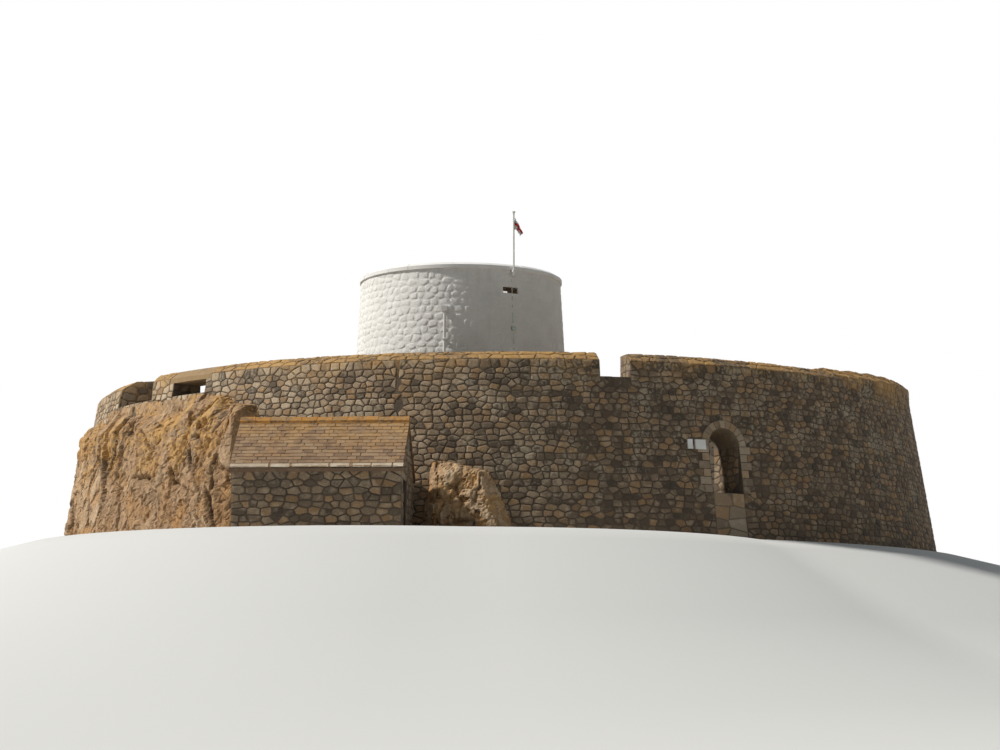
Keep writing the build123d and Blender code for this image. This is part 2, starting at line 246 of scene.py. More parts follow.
def noise_at(tree, size, detail=5.0, stretch=None):
    """Noise over the object's own coordinates; size is its scale socket or value."""
    place = add(tree, "ShaderNodeTexCoord").outputs["Object"]
    if stretch:
        turn = add(tree, "ShaderNodeMapping", {"Scale": stretch})
        tree.links.new(place, turn.inputs["Vector"])
        place = turn.outputs["Vector"]
    made = add(tree, "ShaderNodeTexNoise", {"Detail": detail})
    tree.links.new(place, made.inputs["Vector"])
    feed(tree, size, made.inputs["Scale"])
    return made.outputs["Fac"]


colour_and_height = [("Color", colour), ("Height", number)]
colour_and_mask = [("Color", colour), ("Mask", number)]
print("a group gives", [label for label, kind in colour_and_height])

# %% [markdown]
# Granite shows three scales of change: each stone has its own tone, the face
# of a stone is speckled with crystals, and whole areas are stained. The group
# below gives the first two. A stone's own tone comes from an attribute that
# is stored on its mesh, so it changes only at the joints.


# %% Stone group
def make_stone_group():
    sockets = [
        ("Dark", colour, (0.1, 0.08, 0.06, 1)),
        ("Middle", colour, (0.25, 0.2, 0.15, 1)),
        ("Light", colour, (0.45, 0.38, 0.3, 1)),
        ("Warm", colour, (0.4, 0.25, 0.1, 1)),
        ("Crystal Scale", number, 30.0),
        ("Edge", number, 0.4),
    ]
    tree, start, end = open_group("stone_tone", "ShaderNodeTree", sockets, colour_and_height)
    get = start.outputs
    stored = add(tree, "ShaderNodeAttribute", attribute_name="stone")
    parts = add(tree, "ShaderNodeSeparateColor")
    tree.links.new(stored.outputs["Color"], parts.inputs["Color"])
    tone, warmth, rim = (parts.outputs[k] for k in ("Red", "Green", "Blue"))
    lower_share = maths(tree, "MULTIPLY", tone, 2.0, clamp=True)
    lower = mixed(tree, lower_share, get["Dark"], get["Middle"])
    upper_share = maths(tree, "MULTIPLY_ADD", tone, 2.0, -1.0, clamp=True)
    base = mixed(tree, upper_share, lower, get["Light"])
    warm_share = maths(tree, "MULTIPLY", ranged(tree, warmth, 0.55, 1.0), 0.7)
    base = mixed(tree, warm_share, base, get["Warm"])
    crystals = noise_at(tree, get["Crystal Scale"], 6.0)
    speckled = mixed(tree, 0.45, base, get["Dark"])
    base = mixed(tree, ranged(tree, crystals, 0.35, 0.75), speckled, base)
    patches = noise_at(tree, 3.1, 3.0)
    pale_share = maths(tree, "MULTIPLY", ranged(tree, patches, 0.5, 0.72), 0.35)
    base = mixed(tree, pale_share, base, get["Light"])
    # Painted shade: a stone darkens down its sides towards the joints, and the rock darkens in its
    # cracks.
    edge = maths(tree, "MULTIPLY", maths(tree, "SUBTRACT", 1.0, rim), get["Edge"], clamp=True)
    tree.links.new(mixed(tree, edge, base, get["Dark"]), end.inputs["Color"])
    height = maths(tree, "ADD", crystals, maths(tree, "MULTIPLY", patches, 1.6))
    tree.links.new(height, end.inputs["Height"])
    return tree


stone_group = make_stone_group()
print("group", stone_group.name, "nodes", len(stone_group.nodes))

# %% [markdown]
# Limewash, paint, mortar and wood have no stones, only a mottle of two near
# tones. Two noises, one of patches and one of grain, decide between them.


# %% Mottle group
def make_mottle_group():
    sockets = [
        ("First", colour, (0.3, 0.3, 0.3, 1)),
        ("Second", colour, (0.2, 0.2, 0.2, 1)),
        ("Patch Scale", number, 2.0),
        ("Grain Scale", number, 40.0),
    ]
    tree, start, end = open_group("mottle", "ShaderNodeTree", sockets, colour_and_height)
    get = start.outputs
    patch = noise_at(tree, get["Patch Scale"], 6.0)
    grain = noise_at(tree, get["Grain Scale"], 4.0)
    share = maths(tree, "MULTIPLY_ADD", grain, 0.4, maths(tree, "MULTIPLY", patch, 0.8))
    base = mixed(tree, ranged(tree, share, 0.42, 0.78), get["First"], get["Second"])
    tree.links.new(base, end.inputs["Color"])
    tree.links.new(maths(tree, "ADD", patch, grain), end.inputs["Height"])
    return tree


mottle_group = make_mottle_group()
print("group", mottle_group.name, "nodes", len(mottle_group.nodes))

# %% [markdown]
# Lichen grows in ragged round patches, most of all near the crest, on ridge
# stones and on the bedrock. Its group lays a lichen colour over any colour,
# and fades it in between two heights.


# %% Lichen group
def make_lichen_group():
    sockets = [
        ("Color", colour, (0.3, 0.3, 0.3, 1)),
        ("Lichen", colour, (0.5, 0.32, 0.08, 1)),
        ("Amount", number, 0.5),
        ("Patch Scale", number, 1.2),
        ("Low", number, 0.0),
        ("High", number, 1.0),
        ("Spread", number, 0.16),
    ]
    tree, start, end = open_group("lichen", "ShaderNodeTree", sockets, colour_and_mask)
    get = start.outputs
    place = add(tree, "ShaderNodeSeparateXYZ")
    tree.links.new(add(tree, "ShaderNodeTexCoord").outputs["Object"], place.inputs[0])
    wide = noise_at(tree, get["Patch Scale"], 4.0)
    fine = noise_at(tree, 9.0, 8.0)
    band = ranged(tree, place.outputs["Z"], get["Low"], get["High"])
    share = maths(tree, "MULTIPLY_ADD", fine, 0.55, maths(tree, "MULTIPLY", wide, 0.6))
    share = maths(tree, "MULTIPLY_ADD", band, get["Spread"], share)
    patch = maths(tree, "MULTIPLY", ranged(tree, share, 0.63, 0.74), band)
    mask = maths(tree, "MULTIPLY", patch, get["Amount"], clamp=True)
    tree.links.new(mixed(tree, mask, get["Color"], get["Lichen"]), end.inputs["Color"])
    tree.links.new(mask, end.inputs["Mask"])
    return tree


lichen_group = make_lichen_group()
print("group", lichen_group.name, "nodes", len(lichen_group.nodes))

# %% [markdown]
# Rain leaves marks that run straight down. They are noise that is stretched
# upright, broken up by a second noise, so that no streak is as long as the
# wall is high.


# %% Streak group
def make_streak_group():
    sockets = [
        ("Color", colour, (0.8, 0.8, 0.8, 1)),
        ("Stain", colour, (0.4, 0.35, 0.3, 1)),
        ("Amount", number, 0.3),
        ("Width Scale", number, 3.0),
    ]
    tree, start, end = open_group("rain_streaks", "ShaderNodeTree", sockets, colour_and_mask)
    get = start.outputs
    long = noise_at(tree, get["Width Scale"], 5.0, stretch=(1.0, 1.0, 0.08))
    broken = noise_at(tree, 1.4, 4.0)
    share = maths(tree, "MULTIPLY", ranged(tree, long, 0.5, 0.72), ranged(tree, broken, 0.4, 0.65))
    mask = maths(tree, "MULTIPLY", share, get["Amount"], clamp=True)
    tree.links.new(mixed(tree, mask, get["Color"], get["Stain"]), end.inputs["Color"])
    tree.links.new(mask, end.inputs["Mask"])
    return tree


streak_group = make_streak_group()
print("group", streak_group.name, "nodes", len(streak_group.nodes))

# %% [markdown]
# A finish is a Principled shader with a chain of these groups before its base
# colour and one bump. The helper takes the chain as a list, so that a finish
# can be read as what was laid down first and what came over it.


# %% Make a finish
def finish(name, layers, roughness, bump_distance, bump_strength=0.6, metallic=0.0, coat=0.0):
    """Material whose colour runs through the layers, each a group and its values."""
    material = bpy.data.materials.new(name)
    material.use_nodes = True
    tree = material.node_tree
    shader = tree.nodes["Principled BSDF"]
    shader.inputs["Roughness"].default_value = roughness
    shader.inputs["Metallic"].default_value = metallic
    shader.inputs["Coat Weight"].default_value = coat
    carried, height = None, None
    for group, values in layers:
        layer = add(tree, "ShaderNodeGroup", values, node_tree=group)
        if carried is not None:
            tree.links.new(carried, layer.inputs["Color"])
        carried = layer.outputs["Color"]
        if "Height" in layer.outputs:
            height = layer.outputs["Height"]
    tree.links.new(carried, shader.inputs["Base Color"])
    if height is not None:
        bump = add(tree, "ShaderNodeBump", {"Strength": bump_strength, "Distance": bump_distance})
        tree.links.new(height, bump.inputs["Height"])
        tree.links.new(bump.outputs["Normal"], shader.inputs["Normal"])
    return material


def rgb(r, g, b):
    return (r, g, b, 1.0)


print("a finish starts from", colour, rgb(0.5, 0.5, 0.5))

# %% [markdown]
# Each kind of layer gets a short name for its group and its values. Crystals,
# patches and grain are the scales of their noises, so a larger number is a
# finer pattern.


# %% Layers of a finish
def stone_layer(dark, middle, light, warm, crystals, edge=0.4):
    tones = {"Dark": rgb(*dark), "Middle": rgb(*middle), "Light": rgb(*light), "Warm": rgb(*warm)}
    return stone_group, {**tones, "Crystal Scale": crystals, "Edge": edge}


def mottle_layer(first, second, patches, grain):
    tones = {"First": rgb(*first), "Second": rgb(*second)}
    return mottle_group, {**tones, "Patch Scale": patches, "Grain Scale": grain}


def lichen_layer(tone, amount, patches, low, high, spread=0.16):
    heights = {"Low": low, "High": high, "Spread": spread}
    return lichen_group, {"Lichen": rgb(*tone), "Amount": amount, "Patch Scale": patches, **heights}


def streak_layer(stain, amount, width):
    return streak_group, {"Stain": rgb(*stain), "Amount": amount, "Width Scale": width}


ochre, pale_lichen = (0.50, 0.285, 0.09), (0.52, 0.45, 0.33)
granite = ((0.060, 0.044, 0.030), (0.36, 0.26, 0.165), (0.62, 0.48, 0.33), (0.48, 0.285, 0.13))
granite_dark, granite_warm = granite[0], granite[3]
print("granite from dark to warm", granite)

# %% [markdown]
# The battery's granite is weathered brown. The stones, the joints between
# them, the dressed stones of the gate and the capping of the crest all come
# from one granite, and differ in how pale they are and in their lichen, which
# is pale on the wall and ochre near its crest.

# %% Granite finishes
rubble = finish(
    "granite_rubble",
    [
        stone_layer(*granite, crystals=26.0),
        lichen_layer(pale_lichen, amount=0.4, patches=0.9, low=0.0, high=3.0, spread=0.04),
        lichen_layer(ochre, amount=0.6, patches=0.5, low=5.2, high=6.5, spread=0.1),
    ],
    roughness=0.92,
    bump_distance=0.012,
)
# The finish of the linings is this granite without lichen: painted shade.
shaded_rubble = finish(
    "shaded_rubble", [stone_layer(*granite, crystals=26.0)], roughness=0.95, bump_distance=0.012
)
# Painted shade: stones that are only seen in shadow get these nearly black tones.
painted_shade_tones = ((0.02, 0.016, 0.011), (0.07, 0.052, 0.034), (0.13, 0.10, 0.07), (0.10, 0.065, 0.035))
painted_shade_rubble = finish(
    "painted_shade_rubble", [stone_layer(*painted_shade_tones, crystals=26.0)], roughness=0.8, bump_distance=0.012
)
mortar = finish(
    "rubble_joints",
    [
        mottle_layer(granite_dark, (0.135, 0.100, 0.068), patches=1.3, grain=22.0),
        lichen_layer(ochre, amount=0.5, patches=0.5, low=4.8, high=6.6),
    ],
    roughness=0.96,
    bump_distance=0.02,
)
dressed_tones = ((0.18, 0.135, 0.09), (0.36, 0.275, 0.19), (0.52, 0.42, 0.31), granite_warm)
dressed = finish(
    "dressed_granite",
    [
        stone_layer(*dressed_tones, crystals=26.0),
        lichen_layer(ochre, amount=0.35, patches=0.8, low=1.0, high=6.0),
    ],
    roughness=0.9,
    bump_distance=0.008,
)
# The capping is warmer than the wall's granite, for its lichen, and darker: painted shade.
capping_tones = (granite_dark, (0.30, 0.19, 0.095), (0.44, 0.30, 0.16), (0.45, 0.25, 0.07))
capping = finish(
    "crest_capping",
    [
        stone_layer(*capping_tones, crystals=26.0),
        lichen_layer(ochre, amount=0.7, patches=0.6, low=5.4, high=6.4, spread=0.12),
    ],
    roughness=0.92,
    bump_distance=0.012,
)
print("finishes", [f.name for f in (rubble, shaded_rubble, painted_shade_rubble, mortar, dressed, capping)])

# %% [markdown]
# The tower is whitewashed. Many coats of limewash leave a thick white skin
# that still shows the stones under it, a little grey where it has weathered
# and with faint marks where rain runs down from the rim. The pole, the pipe
# and the plates are painted, so only they have a coat of gloss.

# %% White finishes
limewash = finish(
    "limewash",
    [
        mottle_layer((0.86, 0.845, 0.815), (0.78, 0.76, 0.725), patches=1.1, grain=16.0),
        streak_layer((0.50, 0.44, 0.36), amount=0.30, width=2.2),
    ],
    roughness=0.85,
    bump_distance=0.03,
    bump_strength=0.5,
)
white_coping = finish(
    "white_coping",
    [
        mottle_layer((0.88, 0.87, 0.85), (0.80, 0.785, 0.76), patches=0.9, grain=20.0),
        streak_layer((0.55, 0.50, 0.42), amount=0.25, width=3.0),
    ],
    roughness=0.8,
    bump_distance=0.01,
)
white_paint = finish(
    "white_paint",
    [mottle_layer((0.80, 0.80, 0.79), (0.68, 0.66, 0.62), patches=2.5, grain=60.0)],
    roughness=0.38,
    bump_distance=0.001,
    bump_strength=0.2,
    coat=0.3,
)
print("finishes", limewash.name, white_coping.name, white_paint.name)

# %% [markdown]
# The outbuilding has a roof of brown stone slates over one pale course at the
# eaves, under a bedded ridge that is orange with lichen. The lichen creeps
# down the slates from the ridge, so its heights start at the eaves.

# %% Roof finishes
slate_tones = ((0.15, 0.09, 0.052), (0.285, 0.175, 0.095), (0.40, 0.27, 0.155), (0.39, 0.215, 0.085))
roof_slate = finish(
    "roof_slate",
    [
        stone_layer(*slate_tones, crystals=35.0),
        lichen_layer(ochre, amount=0.5, patches=1.6, low=2.0, high=3.9),
    ],
    roughness=0.85,
    bump_distance=0.006,
)
ridge_tones = ((0.20, 0.12, 0.06), (0.34, 0.21, 0.10), (0.45, 0.32, 0.18), (0.46, 0.25, 0.08))
ridge_stone = finish(
    "ridge_stone",
    [
        stone_layer(*ridge_tones, crystals=30.0),
        lichen_layer((0.52, 0.24, 0.04), amount=0.75, patches=2.2, low=2.5, high=3.6, spread=0.13),
    ],
    roughness=0.88,
    bump_distance=0.008,
)
eave_stone = finish(
    "eave_stone",
    [mottle_layer((0.62, 0.53, 0.41), (0.44, 0.35, 0.25), patches=2.0, grain=30.0)],
    roughness=0.85,
    bump_distance=0.006,
)
print("finishes", roof_slate.name, ridge_stone.name, eave_stone.name)

# %% [markdown]
# The crag is tan granite, darker where water runs down it, and the low outcrop
# is the same rock, paler: painted light. Their stored rim value is the mask of
# the cracks, so a strong edge value darkens only those: painted shade.

# %% Rock finishes
crag_tones = ((0.10, 0.062, 0.035), (0.43, 0.265, 0.14), (0.62, 0.44, 0.27), (0.52, 0.27, 0.09))
bedrock = finish(
    "bedrock",
    [
        stone_layer(*crag_tones, crystals=9.0, edge=0.95),
        streak_layer((0.13, 0.10, 0.07), amount=0.55, width=1.6),
        lichen_layer(ochre, amount=0.75, patches=0.8, low=1.2, high=3.6, spread=0.07),
    ],
    roughness=0.93,
    bump_distance=0.05,
    bump_strength=0.8,
)
# The outcrop's tones are paler than the crag's: painted light.
outcrop_tones_painted_light = ((0.14, 0.085, 0.045), (0.56, 0.36, 0.19), (0.74, 0.58, 0.40), (0.62, 0.33, 0.11))
outcrop_rock_painted_light = finish(
    "outcrop_rock_painted_light",
    [
        stone_layer(*outcrop_tones_painted_light, crystals=9.0, edge=0.95),
        lichen_layer(ochre, amount=0.6, patches=0.9, low=0.2, high=1.6, spread=0.05),
    ],
    roughness=0.93,
    bump_distance=0.05,
    bump_strength=0.8,
)
print("finishes", bedrock.name, outcrop_rock_painted_light.name)

# %% [markdown]
# The court inside the battery is worn paving over a gravel bed. Doors and
# floors are weathered boards, whose grain is the streak group at a fine
# scale, and the earth tape is dull metal.

# %% Paving, wood and metal
paving_tones = ((0.16, 0.135, 0.105), (0.29, 0.245, 0.19), (0.40, 0.345, 0.27), (0.34, 0.25, 0.15))
paving = finish(
    "paving",
    [
        stone_layer(*paving_tones, crystals=22.0),
        lichen_layer(pale_lichen, amount=0.4, patches=0.7, low=0.0, high=2.0),
    ],
    roughness=0.9,
    bump_distance=0.008,
)
fill = finish(
    "gravel_fill",
    [mottle_layer((0.14, 0.115, 0.085), (0.25, 0.21, 0.155), patches=0.9, grain=12.0)],
    roughness=0.97,
    bump_distance=0.02,
)
wood = finish(
    "weathered_wood",
    [
        mottle_layer((0.15, 0.105, 0.07), (0.27, 0.20, 0.14), patches=3.0, grain=30.0),
        streak_layer((0.09, 0.065, 0.045), amount=0.8, width=18.0),
    ],
    roughness=0.75,
    bump_distance=0.004,
)
tape_metal = finish(
    "tape_metal",
    [mottle_layer((0.22, 0.25, 0.22), (0.36, 0.38, 0.34), patches=4.0, grain=50.0)],
    roughness=0.55,
    bump_distance=0.001,
    bump_strength=0.3,
    metallic=0.6,
)
print("finishes so far", len(bpy.data.materials))

# %% [markdown]
# Every node of the solid model gets its finish from its material slot in the
# record. Walls that will be covered with stones get the finish of the joints,
# because only the joints between the stones will still show.

# %% Dress the solid model
slot_finish = {
    "granite_rubble": mortar,
    "dressed_granite": dressed,
    "terrace_stone": mortar,
    "court_stone": fill,
    "white_render": limewash,
    "vault_render": limewash,
    "floor_boards": wood,
    "white_coping": white_coping,
    "door_planks": wood,
    "white_metal": white_paint,
    "flag_cloth": white_paint,
    "earth_tape": tape_metal,
    "house_rubble": mortar,
    "roof_slate": roof_slate,
    "ridge_stone": ridge_stone,
    "bedrock": bedrock,
}
for subpart in frame["record"]["subparts"]:
    mesh = nodes[subpart["node"]].data
    mesh.materials.clear()
    mesh.materials.append(slot_finish[subpart["material_slot"]])

# %% [markdown]
# The walls are random rubble: each stone is as it was found, wider than it is
# high, laid in rough courses. A brick pattern would be too regular. Here each
# stone starts as a seed in a rough course, and takes the part of the face that
# is nearer to it than to any other seed. The face is worked out flat, and bent
# to its wall afterwards. First come the helpers that cut a flat shape.


# %% Cutting a flat shape
def clipped(cell, point, way):
    """Part of a convex cell that lies behind a line facing a way."""
    out = [(x - point[0]) * way[0] + (y - point[1]) * way[1] for x, y in cell]
    kept = []
    for i, (x, y) in enumerate(cell):
        j = (i + 1) % len(cell)
        if out[i] <= 0:
            kept.append((x, y))
        if (out[i] <= 0) != (out[j] <= 0):
            t = out[i] / (out[i] - out[j])
            kept.append((x + t * (cell[j][0] - x), y + t * (cell[j][1] - y)))
    return kept


def sides(outline):
    """Point and outward way of each side of an anticlockwise outline."""
    made = []
    for (x0, y0), (x1, y1) in zip(outline, outline[1:] + outline[:1]):
        length = math.hypot(x1 - x0, y1 - y0)
        if length > 1e-6:
            made.append(((x0, y0), ((y1 - y0) / length, (x0 - x1) / length)))
    return made


def beyond(point, side):
    """How far a point lies outside one side of an outline."""
    (x, y), (a, b) = side
    return (point[0] - x) * a + (point[1] - y) * b


trial_face = [(0, 0), (3, 0), (3, 2), (0, 2)]
print("sides of a trial face", len(sides(trial_face)))

# %% [markdown]
# Seeds are set out in rough courses. None lies close to the border or to an
# opening, because its stone would be a sliver there.


# %% Seeds of the stones
def stone_seeds(outline, course, stretch, chance):
    """Seeds in rough courses over the box of an outline."""
    us, vs = [p[0] for p in outline], [p[1] for p in outline]
    seeds, v = [], min(vs) + course * 0.5
    while v < max(vs) + course * 0.2:
        u = min(us) + chance.uniform(0.1, 0.9) * course * stretch
        while u < max(us):
            seeds.append((u, v + chance.uniform(-0.26, 0.26) * course))
            u += course * stretch * chance.uniform(0.55, 1.5)
        v += course * chance.uniform(0.88, 1.12)
    return seeds


def kept_seeds(seeds, border, holes, margin):
    """Seeds inside the border and outside every hole, by a margin."""
    kept = []
    for point in seeds:
        inside = max(beyond(point, side) for side in border) < -margin
        if inside and all(max(beyond(point, side) for side in hole) > margin for hole in holes):
            kept.append(point)
    return kept


print("seeds on a trial face", len(stone_seeds(trial_face, 0.26, 1.6, random.Random(1))))

# %% [markdown]
# A cell starts as a square round its seed, and is cut back halfway to each
# near seed, less half a joint. The border cuts it too, and so does the edge
# of an opening that faces it. Fourteen near seeds are enough to close a cell
# on all sides.

# %% Cells of random rubble
seed_margin, near_seeds, square_half = 0.12, 14, 2.4


def cell_round(x, v, near, half, joint, stretch):
    """Square round a seed, cut back halfway to each near seed, then stretched."""
    cell = [(x - half, v - half), (x + half, v - half), (x + half, v + half), (x - half, v + half)]
    for place in near:
        way = Vector((place[0] - x, place[1] - v))
        distance = way.length
        way /= distance
        reach = distance / 2 - joint / 2 * math.hypot(way.x / stretch, way.y)
        cell = clipped(cell, (x + way.x * reach, v + way.y * reach), way)
    return [(a * stretch, b) for a, b in cell]


def stone_cells(outline, course, stretch, joint, seed, openings=(), closed=False):
    """Convex cells (u, v) that fill an outline, with joints between them. A closed
    outline is a ring unrolled, so its left and right ends run on into each other."""
    border = sides(outline)
    if closed:
        border = [side for side in border if abs(side[1][0]) < 0.5]
    holes = [sides(opening) for opening in openings]
    seeds = stone_seeds(outline, course, stretch, random.Random(seed))
    seeds = kept_seeds(seeds, border, holes, seed_margin * course)
    turn = max(p[0] for p in outline) - min(p[0] for p in outline)
    copies = (-turn, 0.0, turn) if closed else (0.0,)
    tree = KDTree(len(seeds) * len(copies))
    for i, (u, v) in enumerate(seeds):
        for shift in copies:
            tree.insert(((u + shift) / stretch, v, 0), i if shift == 0.0 else len(seeds))
    tree.balance()
    cells = []
    for i, (u, v) in enumerate(seeds):
        x = u / stretch
        near = [place for place, j, _ in tree.find_n((x, v, 0), near_seeds) if j != i]
        cell = cell_round(x, v, near, square_half * course, joint, stretch)
        for point, way in border:
            cell = clipped(cell, point, way)
        for hole in holes:
            point, (a, b) = max(hole, key=lambda edge: beyond((u, v), edge))
            cell = clipped(cell, point, (-a, -b))
        if len(cell) >= 3:
            cells.append(cell)
    return cells


trial_cells = stone_cells(trial_face, 0.26, 1.6, 0.02, 1)
print("stones on a trial face", len(trial_cells))

# %% [markdown]
# Some cells have corners that nearly touch, or are too small for a stone. The
# helpers below clean and measure a cell, and store a tone, a warmth and the
# nearness to the rim on the points of a mesh, where the shader reads them.


# %% Clean and measure a cell
def tidy_cell(cell, least):
    """The cell without corners that nearly touch."""
    kept = []
    for point in cell:
        if not kept or math.dist(point, kept[-1]) > least:
            kept.append(point)
    while len(kept) > 2 and math.dist(kept[0], kept[-1]) <= least:
        kept.pop()
    return kept


def cell_area(cell):
    pairs = zip(cell, cell[1:] + cell[:1])
    return sum(a[0] * b[1] - b[0] * a[1] for a, b in pairs) / 2


def middle(cell):
    """Mean of a cell's corners."""
    return tuple(sum(p[k] for p in cell) / len(cell) for k in (0, 1))


def store_tones(piece, stored):
    attribute = piece.data.color_attributes.new("stone", "FLOAT_COLOR", "POINT")
    attribute.data.foreach_set("color", stored)


def in_box(point):
    """The point, moved back inside the solid model's box if it is outside."""
    return Vector([min(max(p, low), high) for p, low, high in zip(point, solid_low, solid_high)])


print("first trial cell", middle(trial_cells[0]), "area", round(cell_area(trial_cells[0]), 4))

# %% [markdown]
# A cell becomes a stone with a base inside the wall, a shoulder and a rough
# top that is tilted a little, so that the light catches its edges. About
# thirty triangles are enough, because there are thousands. A tone factor
# along a wall paints light and shade on its stones, from its palest part to
# its darkest.

# %% Cells to stones
least_side, least_area, base_depth = 0.025, 0.006, 0.012
deepest_painted_shade = 0.36


def stone_rings(height, shoulder, top):
    """Size, height and nearness to the rim of the base, the shoulder and the top."""
    return ((1.0, -base_depth, 0.0), (shoulder, 0.62 * height, 0.45), (top, height, 1.0))


def stones(
    name, walls, proud, seed, material, slot, shoulder=0.9, top=0.6, smooth=False, painted_light_and_shade=None
):
    """One piece with a raised stone for each cell; walls are pairs of cells and
    the function that places them. The tone factor for a cell's u paints
    light and shade on the stones."""
    chance = random.Random(seed)
    points, faces, stored = [], [], []
    for cell, place in [(cell, place) for cells, place in walls for cell in cells]:
        cell = tidy_cell(cell, least_side)
        if len(cell) < 3 or cell_area(cell) < least_area:
            continue
        count = len(cell)
        cu, cv = middle(cell)
        height = proud * chance.uniform(0.55, 1.0)
        lean_u, lean_v = chance.uniform(-0.08, 0.08), chance.uniform(-0.08, 0.08)
        tone, warmth = chance.random(), chance.random()
        if painted_light_and_shade:
            share = painted_light_and_shade(cu)
            tone = min(tone * share + 0.15 * (share - deepest_painted_shade), 1.0)
        first = len(points)
        for size, level, rim in stone_rings(height, shoulder, top):
            for u, v in cell:
                du, dv = (u - cu) * size, (v - cv) * size
                rise = level
                if level > 0:
                    rise += chance.uniform(-0.12, 0.0) * height + (du * lean_u + dv * lean_v) * 0.6
                points.append(place(cu + du, cv + dv, min(rise, proud)))
                stored += [tone, warmth, rim, 1.0]
        for ring in range(2):
            for i in range(count):
                a, b = first + ring * count + i, first + ring * count + (i + 1) % count
                faces.append((a, b, b + count, a + count))
        faces.append(tuple(range(first + 2 * count, first + 3 * count)))
    made = new_object(name, points, faces, material, smooth)
    store_tones(made, stored)
    return fasten(made, slot)


granite_wall = {"material": rubble, "slot": "granite_rubble"}
dressed_stone = {"material": dressed, "slot": "dressed_granite"}
print("rings of a stone", stone_rings(0.03, 0.9, 0.6))

# %% [markdown]
# A round wall is laid out flat by its bearing: 0 degrees faces the camera, and
# bearings grow to the right. Its face leans in as it rises. The same function
# serves faces that look inwards, where left and right change places.


# %% From the flat layout to a wall
def round_face(foot, lean, inward=False, centre_x=0.0):
    """Placing function for a round leaning face; u runs along its foot."""
    side = -1.0 if inward else 1.0

    def place(u, v, out):
        radius = foot - lean * v + side * out
        bearing = side * u / foot
        spot = (centre_x + radius * math.sin(bearing), -radius * math.cos(bearing), v)
        return in_box(Vector(spot))

    return place


def flat_face(corner, along, up=(0, 0, 1)):
    """Placing function for a flat face from its corner, seen from outside."""
    origin, right, rise = Vector(corner), Vector(along).normalized(), Vector(up).normalized()
    outward = right.cross(rise)

    def place(u, v, out):
        return in_box(origin + right * u + rise * v + outward * out)

    return place


def at_bearing(degrees, radius, height, centre_x=0.0):
    angle = math.radians(degrees)
    return Vector((centre_x + radius * math.sin(angle), -radius * math.cos(angle), height))


print("one metre at bearing 90", at_bearing(90, 1.0, 0.0))

# %% [markdown]
# The measures of the battery are those of the solid model, in metres, so that
# every stone lies on its face: the leaning outer wall, the crest that slopes
# from its edge up to its flat top, the parapet, the gun terrace and the court.

# %% Measures of the battery
foot_radius, crest_radius, crest_height, crest_edge = 17.4, 16.4, 6.5, 6.2
wall_lean = (foot_radius - crest_radius) / crest_edge
crest_inner, parapet_inner, terrace_inner = 15.95, 15.2, 11.7
terrace_level, court_level = 4.6, 1.65
embrasure_sill = 5.52


def arc(degrees, radius=foot_radius):
    return math.radians(degrees) * radius


def wall_radius(height):
    return foot_radius - wall_lean * height


def band(start, end, low, high, radius=foot_radius, side=1):
    """Outline between two bearings and two heights on a face's layout."""
    ends = sorted((side * arc(start, radius), side * arc(end, radius)))
    return [(ends[0], low), (ends[1], low), (ends[1], high), (ends[0], high)]


print("radius at the sills", round(wall_radius(embrasure_sill), 3))

# %% [markdown]
# The battery has six embrasures, a lintelled slot, a notch and the gate. Each
# is an outline on the flat layout of a face, and the stones stop at its edge.
# A layout is as wide as the wall is at its foot, so an opening higher up on a
# leaning wall has to grow a little to keep its true width.

# %% Openings on a layout
embrasures = [-54.0 - 36.0 * i for i in range(6)]
slot_bearing, notch_bearing, gate_bearing = -40.9, 16.5, 30.0
slot_half, lintel_half, notch_half, throat_half = 0.925, 1.175, 0.55, 0.45
notch_sill, lintel_bottom, slot_top, over_crest = 5.62, 6.02, 6.1, 6.8
gate_half, gate_spring, arch_radius = 0.625, 3.325, 0.905
upright_openings = (
    (slot_bearing, slot_half, embrasure_sill, slot_top),
    (slot_bearing, lintel_half, lintel_bottom, over_crest),
    (notch_bearing, notch_half, notch_sill, over_crest),
    (gate_bearing, gate_half, court_level, gate_spring),
)


def outline_at(degrees, halves, bottom, top, foot=foot_radius, lean=wall_lean, side=1):
    """Upright opening on a face's layout, with its half width at foot and head."""
    u, grow = side * arc(degrees, foot), foot / (foot - lean * bottom)
    low, high = halves[0] * grow, halves[1] * grow
    return [(u - low, bottom), (u + low, bottom), (u + high, top), (u - high, top)]


def disc(u, v, radius_u, radius_v, count=24):
    turns = [2 * math.pi * i / count for i in range(count)]
    return [(u + radius_u * math.cos(a), v + radius_v * math.sin(a)) for a in turns]


def battery_openings(foot, lean, side, embrasure_halves):
    """Openings of the outer face, side 1, or of the inner face, side -1."""
    face = {"foot": foot, "lean": lean, "side": side}
    holes = [outline_at(b, embrasure_halves, embrasure_sill, over_crest, **face) for b in embrasures]
    for degrees, half, bottom, top in upright_openings:
        holes.append(outline_at(degrees, (half, half), bottom, top, **face))
    grow = foot / (foot - lean * gate_spring)
    holes.append(disc(side * arc(gate_bearing, foot), gate_spring, arch_radius * grow, arch_radius))
    return holes


mouth_halves = (1.5, 1.36)
outer_openings = battery_openings(foot_radius, wall_lean, 1, mouth_halves)
print("openings", len(outer_openings))

# %% [markdown]
# The gate is built of dressed stone: jamb stones, long and short in turn so
# that they bond into the rubble, under a ring of wedge-shaped arch stones.
# The jambs stand in the outer face like openings, and the rubble stops at
# them. So do the threshold, and a crack in the wall with a dark hollow in it.


# %% Stones of the gate on the layout
def wedge_ring(u, spring, inner, outer, count, joint, grow):
    """Wedge-shaped cells of a round arch on the layout."""
    cells = []
    for i in range(count):
        low, high = math.pi * i / count, math.pi * (i + 1) / count
        cell = []
        for radius, angle in ((inner, low), (outer, low), (outer, high), (inner, high)):
            turn = angle + joint / 2 / radius * (1 if angle == low else -1)
            cell.append((u + radius * grow * math.cos(turn), spring + radius * math.sin(turn)))
        cells.append(cell)
    return cells


